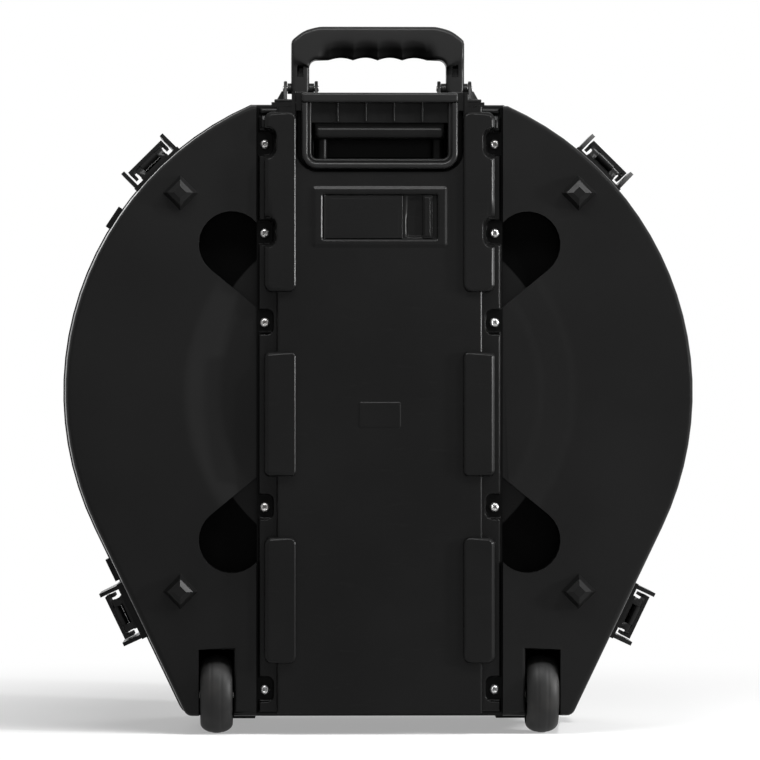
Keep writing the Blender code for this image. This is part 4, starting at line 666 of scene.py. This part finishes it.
panelSheet, panelHood = buildPanel()
trolleyPanel = assemble("trolleyPanel", panelSheet, "trolley_panel", sharp=60.0, merge=0.000001)
panelHoodPiece = assemble("panelHood", panelHood, "trolley_panel")
print("trolley panel:", len(trolleyPanel.data.vertices), "points")


# The bezel: a section carried along a U, from its outer foot over the round bead down into the cup.
# Each row of the section is (distance in from the outside of the U, world y)
bezel = {"half": 0.0800, "foot": 0.5780, "top": 0.6448, "corner": 0.0160, "bead": 0.0070, "wall": 0.0030}


def buildBezel():
    turn = np.linspace(0, np.pi / 2, 13)
    half, foot, corner = bezel["half"], bezel["foot"], bezel["corner"]
    right = np.stack([half - corner + corner * np.cos(turn - np.pi / 2),
                      foot + corner + corner * np.sin(turn - np.pi / 2)], axis=-1)
    rightOut = np.stack([np.cos(turn - np.pi / 2), np.sin(turn - np.pi / 2)], axis=-1)
    path = np.concatenate([[[half, bezel["top"]]], right[::-1], right * [-1, 1], [[-half, bezel["top"]]]])
    outward = np.concatenate([[[1.0, 0.0]], rightOut[::-1], rightOut * [-1, 1], [[-1.0, 0.0]]])
    bow = np.linspace(0, np.pi, 15)
    reach = bezel["bead"] / 2
    crown = np.stack([reach - reach * np.cos(bow), -0.1345 - 0.0050 * np.sin(bow) ** 0.75], axis=-1)
    ledge = [(0.0076, -0.1348), (0.0085, -0.1351), (0.0093, -0.1348), (0.0100, -0.1338), (0.0104, -0.1322)]
    cup = [(0.0105, -0.1290), (0.0105, -0.1200), (0.0107, -0.1000), (0.0112, -0.0975), (0.0125, -0.0962), (0.0142, -0.0958)]
    section = np.concatenate([[(0.0000, -0.1282), (0.0000, -0.1335)], crown, ledge, cup])
    inward = section[:, 0][None, :, None]
    flat = path[:, None, :] - outward[:, None, :] * inward
    depth = np.broadcast_to(section[:, 1][None, :], flat.shape[:2])
    grid = np.stack([flat[..., 0], depth, flat[..., 1]], axis=-1)
    rows, columns = grid.shape[:2]
    index = np.arange(rows * columns).reshape(rows, columns)
    return [(grid.reshape(-1, 3), [quads(rows, columns, roundColumns=False), index[:, -1][None, :]])]


bezelPiece = assemble("towBezel", buildBezel(), "handle_well", sharp=50.0, finish="cup")
wall = bezelPiece.modifiers.new("wall", "SOLIDIFY")
wall.thickness = bezel["wall"]
wall.offset = -1.0
bezelPiece.modifiers.move(1, 0)


# The tow grip: a rounded bar along the top, a ribbed board, and a rounded bar below a groove. The board and bars take
# the darker grip plastic as painted shade, the top bar the paler node plastic as painted light
towGrip = {"lip": 0.0030, "board": 0.0012, "bar": 0.0050, "ribs": 4, "pitch": 0.0288, "ribWidth": 0.0022}


def buildTowGrip():
    low, high = limits("tow_grip")
    foot, top, front, back = low[2], high[2], low[1], high[1]
    parts = roundedBox((-0.0689, -0.1262, foot + 0.0165), (0.0689, back, top - 0.0006), 0.0015)
    parts += roundedBox((-0.0682, -0.1190, foot + 0.0004), (0.0682, back, foot + 0.0200), 0.0030)
    parts += roundedBox((-0.0662, -0.1308, foot), (0.0662, -0.1080, foot + 0.0130), towGrip["bar"], 5)
    parts += roundedBox((-0.0724, -0.1290, foot + 0.0163), (0.0724, -0.1240, top - 0.0010), towGrip["board"])
    lip = roundedBox((-0.0800, front, foot + 0.0367), (0.0800, -0.1288, top), towGrip["lip"], 4)
    parts += roundedBox((-0.0724, -0.1340, foot + 0.0375), (0.0724, -0.1200, top - 0.0002), 0.0012)
    for k in range(towGrip["ribs"]):
        x = (k - (towGrip["ribs"] - 1) / 2) * towGrip["pitch"]
        half = towGrip["ribWidth"] / 2
        parts += roundedBox((x - half, -0.1338, foot + 0.0172), (x + half, -0.1270, foot + 0.0380), 0.0009)
    return parts, lip


gripBoard, gripLip = buildTowGrip()
# painted shade on the board and bars, painted light on the top bar
assemble("towGrip", gripBoard, "tow_grip", finish="grip")
assemble("towGripLip", gripLip, "tow_grip")


# The carry handle: for each step along it, a section between a point of its outer edge and one of its
# inner edge, with round corners, and hollowed for the fingers from its inner edge
carry = {
    "half": 0.0905, "leg": 0.0190, "height": 0.0643, "opening": 0.0298, "shoulder": 0.0295, "drop": 0.0135,
    "depth": 0.0130, "legDepth": 0.0090, "neck": (0.0215, 0.0330), "edge": 0.0042, "scoop": 0.0100,
    "pitch": 0.0258, "fingerRise": 0.0026, "window": (0.0030, 0.0120, 0.0210), "windowDeep": 0.0060,
    "inside": 0.0080,
}


def buildCarryHandle():
    c = carry
    pivot = np.array([0, -0.018, 0.6675])
    inner, ease = c["half"] - c["leg"], c["inside"]
    a = np.linspace(-np.pi / 2, 0, 7)[1:]
    middle, reach = (c["half"] + inner) / 2, c["leg"] / 2
    endOut = np.stack([middle + reach * np.cos(a), reach * np.sin(a)], axis=-1)
    endIn = np.stack([middle - reach * np.cos(a), reach * np.sin(a)], axis=-1)
    wide, windowLow, windowHigh = c["window"]
    hair = 0.0003
    up = np.array([0.006, windowLow - hair, windowLow, windowHigh, windowHigh + hair, c["neck"][0] - 0.0005, 0.0252])
    up = np.append(up, np.linspace(0.0268, c["neck"][1] + 0.002, 4))
    legOut = np.stack([0 * up + c["half"], up * 1.0], axis=-1)
    legIn = np.stack([0 * up + inner, np.where(up < 0.022, up, 0.0217 + (up - 0.022) * 0.02)], axis=-1)
    knees = [(c["half"], up[-1]), (c["half"], c["height"] - c["drop"] - 0.0012),
             (c["half"] - c["shoulder"] * 0.46, c["height"] - c["drop"] * 0.29),
             (c["half"] - c["shoulder"], c["height"]), (c["half"] - c["shoulder"] - 0.004, c["height"])]
    route = filleted(knees, (0.0, 0.0030, 0.0070, 0.0070, 0.0), 4, closed=False)
    length = np.concatenate([[0], np.cumsum(np.linalg.norm(np.diff(route, axis=0), axis=1))])
    place = np.linspace(0, length[-1], 15)[1:]
    shoulderOut = np.stack([np.interp(place, length, route[:, k]) for k in (0, 1)], axis=-1)
    arc = np.linspace(0, np.pi / 2, 15)[1:]
    shoulderIn = np.stack([inner - ease + ease * np.cos(arc), c["opening"] - ease + ease * np.sin(arc)], axis=-1)
    xs = np.linspace(shoulderIn[-1, 0], 0, 62)[1:]
    topX = np.linspace(shoulderOut[-1, 0], 0, 62)[1:]
    topOut = np.stack([topX, 0 * topX + c["height"]], axis=-1)
    share = np.abs(xs) / c["pitch"]
    lift = c["fingerRise"] * (1 - 0.2 * (share / 2) ** 2) * np.abs(np.sin(np.pi * share)) * (share < 2)
    topIn = np.stack([xs, c["opening"] + lift], axis=-1)
    out = np.concatenate([endOut, legOut, shoulderOut, topOut])
    inn = np.concatenate([endIn, legIn, shoulderIn, topIn])
    out = np.concatenate([out, out[-2::-1] * [-1, 1]])
    inn = np.concatenate([inn, inn[-2::-1] * [-1, 1]])

    height = (out[:, 1] + inn[:, 1]) / 2
    widen = eased((np.minimum(out[:, 1], 0.05) - c["neck"][0]) / (c["neck"][1] - c["neck"][0]), 0.2)
    depth = (c["legDepth"] + (c["depth"] - c["legDepth"]) * widen)[:, None]
    half = np.linalg.norm(out - inn, axis=1)[:, None] / 2
    fingers = np.abs(inn[:, 0]) / c["pitch"]
    finger = np.where((fingers < 2) & (inn[:, 1] > c["opening"] - 0.001), np.abs(np.sin(np.pi * fingers)) ** 0.7, 0)
    onTop = eased((0.0640 - np.abs(inn[:, 0])) / 0.0100, 0.2) * (inn[:, 1] > c["opening"] - 0.006)
    scoop = (c["scoop"] * (0.62 * onTop + 0.38 * finger))[:, None]

    # the section as (share across, from inner -1 to outer 1) and (share of the depth), round the ring
    turn = np.linspace(0, np.pi / 2, 6)
    cosine, sine = np.cos(turn), np.sin(turn)
    lines = np.array([-wide - hair, -wide, wide, wide + hair])
    u, v = [], []
    edge = np.minimum(c["edge"], half * 0.9)
    outer, span = half - edge, depth - edge
    u += [outer + edge * cosine[None, :]]
    v += [span + edge * sine[None, :]]
    flat = np.linspace(1, -1, 9)[None, 1:-1] * (half - edge)
    flat = np.where(half < 0.0098, np.sort(np.concatenate([lines, [0.0045, 0, -0.0045]]))[::-1][None, :] +
                    0 * half, flat)
    flat = np.clip(flat, -(half - edge), half - edge)
    u += [flat]
    v += [depth + 0 * flat]
    u += [-outer - edge * sine[None, :]]
    v += [span + edge * cosine[None, :]]
    u, v = np.concatenate(u, axis=1), np.concatenate(v, axis=1)
    u, v = np.concatenate([u, u[:, ::-1]], axis=1), np.concatenate([v, -v[:, ::-1]], axis=1)
    near = eased((-u / np.maximum(half, 1e-6) - 0.02) / 0.70, 0.25)
    v = np.sign(v) * np.maximum(np.abs(v) - scoop * near, 0)
    inWindow = (np.abs(u) <= wide + 0.00001) & (v < 0) & (out[:, 1:] >= windowLow - 0.00001)
    inWindow &= out[:, 1:] <= windowHigh + 0.00001
    v = np.where(inWindow, v + c["windowDeep"], v)

    axis = (out - inn) / np.maximum(2 * half, 1e-6)
    flatPlace = (out + inn)[:, None, :] / 2 + axis[:, None, :] * u[..., None]
    grid = np.stack([flatPlace[..., 0], v, flatPlace[..., 1]], axis=-1) + pivot
    parts = [sleeve(grid)]
    for hand in (-1, 1):
        for low, high in ((0.0664, inner + 0.001), (c["half"] - 0.001, 0.0943)):
            boss = [(0, low), (0.0052, low), (0.0056, low + 0.0004), (0.0056, high), (0, high)]
            parts.append(turned([(radius, hand * spot) for radius, spot in boss], pivot, "X", 40))
    return parts


assemble("carryHandle", buildCarryHandle(), "carry_handle", sharp=50.0)


# Wheels turn about X: a tyre with two grooves in its tread, and a hub with a dished face and a cap
wheel = {"radius": 0.0400, "half": 0.0165, "bore": 0.0262, "groove": 0.0004, "hub": 0.0256, "boss": 0.0090}


def buildTyre(node):
    low, high = limits(node)
    middle = (low + high) / 2
    half, tall = wheel["half"], wheel["radius"]
    angle = np.radians(np.linspace(80, -80, 41))
    bulge = half * 0.62
    radius = tall - bulge + bulge * np.cos(angle)
    along = half * np.sin(angle) / np.sin(angle[0])
    for spot in (-0.0052, 0.0052):
        radius = radius - wheel["groove"] * np.exp(-((along - spot) / 0.0007) ** 2)
    tread = np.stack([radius, along], axis=-1)
    wallIn = [(wheel["bore"] + 0.0060, half * 0.97), (wheel["bore"] + 0.0048, half * 0.90),
              (wheel["bore"] + 0.0008, half * 0.91), (wheel["bore"], half * 0.86)]
    profile = np.concatenate([wallIn[::-1], tread, [(r, -a) for r, a in wallIn]])
    return [turned(profile, middle, "X", 128, looped=True)]


def buildHub(node):
    low, high = limits(node)
    middle = (low + high) / 2
    rim, boss, half = wheel["hub"], wheel["boss"], (high - low)[0] / 2
    face = [(rim, 0.0), (rim, 0.0146), (rim - 0.0006, 0.0150), (rim - 0.0024, 0.0150), (rim - 0.0032, 0.0142),
            (rim - 0.0040, 0.0100), (rim - 0.0052, 0.0090), (0.0130, 0.0088), (boss + 0.0012, 0.0096),
            (boss, 0.0112), (boss - 0.0002, half - 0.0008), (boss - 0.0010, half), (0.0055, half),
            (0.0044, half - 0.0006), (0.0043, 0.0)]
    profile = face + [(r, -a) for r, a in face[::-1]][1:-1]
    parts = [turned(profile, middle, "X", 72, looped=True)]
    for k in range(6):
        angle = np.radians(60 * k + 30)
        rib = roundedBox((-0.0138, -0.0013, 0.0095), (0.0138, 0.0013, rim - 0.0028), 0.0008)
        cosine, sine = np.cos(angle), np.sin(angle)
        spin = np.array([[1, 0, 0], [0, cosine, sine], [0, -sine, cosine]])
        parts += [(points @ spin + middle, blocks) for points, blocks in rib]
    return parts


def buildRod(node, axis, radius, chamfer=0.0006, sides=48, bore=None):
    low, high = limits(node)
    middle, k = (low + high) / 2, "XYZ".index(axis)
    half = (high - low)[k] / 2
    profile = [(radius, chamfer - half), (radius, half - chamfer), (radius - chamfer, half)]
    if bore:
        profile = [(bore, -half), (radius - chamfer, -half)] + profile + [(bore, half)]
        return [turned(profile, middle, axis, sides, looped=True)]
    profile = [(0, -half), (radius - chamfer, -half)] + profile + [(0, half)]
    return [turned(profile, middle, axis, sides)]


for side in ("left", "right"):
    assemble(f"wheelTyre_{side}", buildTyre(f"wheel_tyre_{side}"), f"wheel_tyre_{side}", sharp=60.0)
    assemble(f"wheelHub_{side}", buildHub(f"wheel_hub_{side}"), f"wheel_hub_{side}")
    assemble(f"wheelAxle_{side}", buildRod(f"wheel_axle_{side}", "X", 0.0040), f"wheel_axle_{side}")
    assemble(f"handlePin_{side}", buildRod(f"handle_pin_{side}", "X", 0.0030, 0.0005), f"handle_pin_{side}")
    assemble(f"towTube_{side}", buildRod(f"tow_tube_{side}", "Z", 0.0070, 0.0003, 56, 0.0058), f"tow_tube_{side}")
    assemble(f"towGuide_{side}", buildRod(f"tow_guide_{side}", "Z", 0.0095, 0.0004, 56, 0.0073),
             f"tow_guide_{side}")
print("wheels, pins and tubes turned")


# The card cover: a thin plate with a slightly raised middle and its hinge pin, whose two ends stand out as pins. The
# catch is a block with a raised grip
def buildCardCover():
    low, high = limits("card_cover")
    pin = 0.0012
    left = low[0] + pin
    parts = roundedBox((left - 0.0006, -0.1338, low[2] + 0.0030), (high[0], -0.1320, high[2] - 0.0030), 0.0007)
    parts += roundedBox((left + 0.004, -0.13385, low[2] + 0.0062), (high[0] - 0.004, -0.1330, high[2] - 0.0062), 0.0003)
    profile = [(0, low[2]), (pin - 0.0003, low[2]), (pin, low[2] + 0.0003), (pin, high[2] - 0.0003),
               (pin - 0.0003, high[2]), (0, high[2])]
    parts.append(turned(profile, (left, -0.1328, 0), "Z", 24))
    return parts


def buildCardCatch():
    low, high = limits("card_catch")
    parts = roundedBox((low[0], low[1] + 0.0008, low[2]), (high[0], high[1], high[2]), 0.0006)
    parts += roundedBox((low[0] + 0.0012, low[1], low[2] + 0.002), (high[0] - 0.0022, high[1] - 0.001, high[2] - 0.002),
                        0.0009)
    return parts


assemble("cardCover", buildCardCover(), "card_cover")
assemble("cardCatch", buildCardCatch(), "card_catch")


# Padded discs that lie between the cymbals: crowned, bound round the edge, with a stitched ring
disc = {"binding": 0.0020, "crown": 0.0006, "stitch": 0.012, "sides": 144}


def buildDivider(node):
    low, high = limits(node)
    middle, half, radius = (low + high) / 2, (high - low)[1] / 2, (high - low)[0] / 2
    share = np.concatenate([np.linspace(0, radius - 0.020, 14), np.linspace(radius - 0.018, radius - 0.0045, 16)])
    puff = half - disc["crown"] * (share / radius) ** 2 - 0.0004
    puff = puff - 0.0013 * np.exp(-((share - radius + disc["stitch"]) / 0.0013) ** 2)
    puff = np.where(share > radius - 0.0052, half - 0.0014, puff)
    bend = np.linspace(np.radians(115), np.radians(-115), 15)
    binding = np.stack([radius - 0.0024 + 0.0024 * np.cos(bend), half * 0.98 * np.sin(bend)], axis=-1)
    profile = np.concatenate([np.stack([share, puff], axis=-1), binding, np.stack([share, -puff], axis=-1)[::-1]])
    return [turned(profile, middle, "Y", disc["sides"])]


for k in range(1, 4):
    padded = assemble(f"divider_{k}_padding", buildDivider(f"divider_{k}"), f"divider_{k}", sharp=70.0)
print("dividers padded")

replaced = {node for thing in bpy.data.objects for node in bodyOf if thing.name == node and thing.hide_render}
for node, thing in cad.items():
    if node not in replaced:
        dress(thing.data, node, "pin" if node.startswith("latch_pin") else None)
print("moulded pieces:", len(rounding), "carried over:", sorted(set(cad) - replaced))


# Studio: white all round for the camera and for gloss, softer for everything else
studio = {"ambient": 0.13, "key": 58.0, "spark": 38.0, "top": 10.0, "fill": 1.5, "rim": 9.0, "front": 16.0, "floorReach": 1.1}


def buildWorld():
    world = bpy.data.worlds.new("studio")
    bpy.context.scene.world = world
    world.use_nodes = True
    nodes, links = world.node_tree.nodes, world.node_tree.links
    path = nodes.new("ShaderNodeLightPath")
    seen = nodes.new("ShaderNodeMath")
    seen.operation = "MAXIMUM"
    links.new(path.outputs["Is Camera Ray"], seen.inputs[0])
    links.new(path.outputs["Is Glossy Ray"], seen.inputs[1])
    clear = nodes.new("ShaderNodeMath")
    clear.operation = "MAXIMUM"
    links.new(seen.outputs[0], clear.inputs[0])
    links.new(path.outputs["Is Transmission Ray"], clear.inputs[1])
    level = nodes.new("ShaderNodeMapRange")
    level.inputs["To Min"].default_value = studio["ambient"]
    level.inputs["To Max"].default_value = 1.0
    links.new(clear.outputs[0], level.inputs["Value"])
    nodes["Background"].inputs["Color"].default_value = (1, 1, 1, 1)
    links.new(level.outputs[0], nodes["Background"].inputs["Strength"])


def softbox(name, place, target, size, power):
    lamp = bpy.data.objects.new(name, bpy.data.lights.new(name, "AREA"))
    lamp.data.shape = "RECTANGLE"
    lamp.data.size, lamp.data.size_y = size
    lamp.data.energy = power
    lamp.location = place
    lamp.rotation_euler = (Vector(target) - Vector(place)).to_track_quat("-Z", "Y").to_euler()
    bpy.context.scene.collection.objects.link(lamp)


def buildFloor():
    mesh = bpy.data.meshes.new("floor")
    reach = 6.0
    mesh.from_pydata([(-reach, -reach, 0), (reach, -reach, 0), (reach, reach, 0), (-reach, reach, 0)], [],
                     [(0, 1, 2, 3)])
    floor = bpy.data.objects.new("floor", mesh)
    bpy.context.scene.collection.objects.link(floor)
    finish = Finish("paleFloor", BaseColor=grey(0.80), Roughness=0.9)
    nodes, links = finish.tree.nodes, finish.tree.links
    apart = finish.add("ShaderNodeVectorMath", {"operation": "LENGTH"}, {0: finish.place}, output="Value")
    path = nodes.new("ShaderNodeLightPath")
    seen = Wire(finish, path.outputs["Is Camera Ray"]).math("MAXIMUM", Wire(finish, path.outputs["Is Glossy Ray"]))
    white = nodes.new("ShaderNodeEmission")
    lit = nodes.new("ShaderNodeMixShader")
    near = 0.35 + 0.65 * apart.ramp(0.35, studio["floorReach"])
    finish.feed(lit.inputs[0], near * seen)
    links.new(finish.shader.outputs[0], lit.inputs[1])
    links.new(white.outputs[0], lit.inputs[2])
    links.new(lit.outputs[0], nodes["Material Output"].inputs["Surface"])
    mesh.materials.append(finish.material)


buildWorld()
buildFloor()
softbox("keyLamp", (2.05, -0.68, 0.58), (0, -0.1, 0.5), (0.16, 0.24), studio["key"])
softbox("sparkLamp", (1.47, -1.04, 1.83), (0.21, -0.13, 0.57), (0.16, 0.16), studio["spark"])
softbox("topLamp", (-0.08, -0.55, 1.17), (0, -0.12, 0.4), (0.8, 0.2), studio["top"])
softbox("fillLamp", (-2.4, -2.0, 1.2), (0, 0, 0.35), (1.0, 1.6), studio["fill"])
softbox("rimLamp", (0.6, 1.8, 2.4), (0, 0, 0.4), (1.4, 0.8), studio["rim"])
softbox("frontLamp", (-1.3, 2.6, 1.5), (0, 0, 0.4), (1.6, 1.2), studio["front"])
print("studio built")
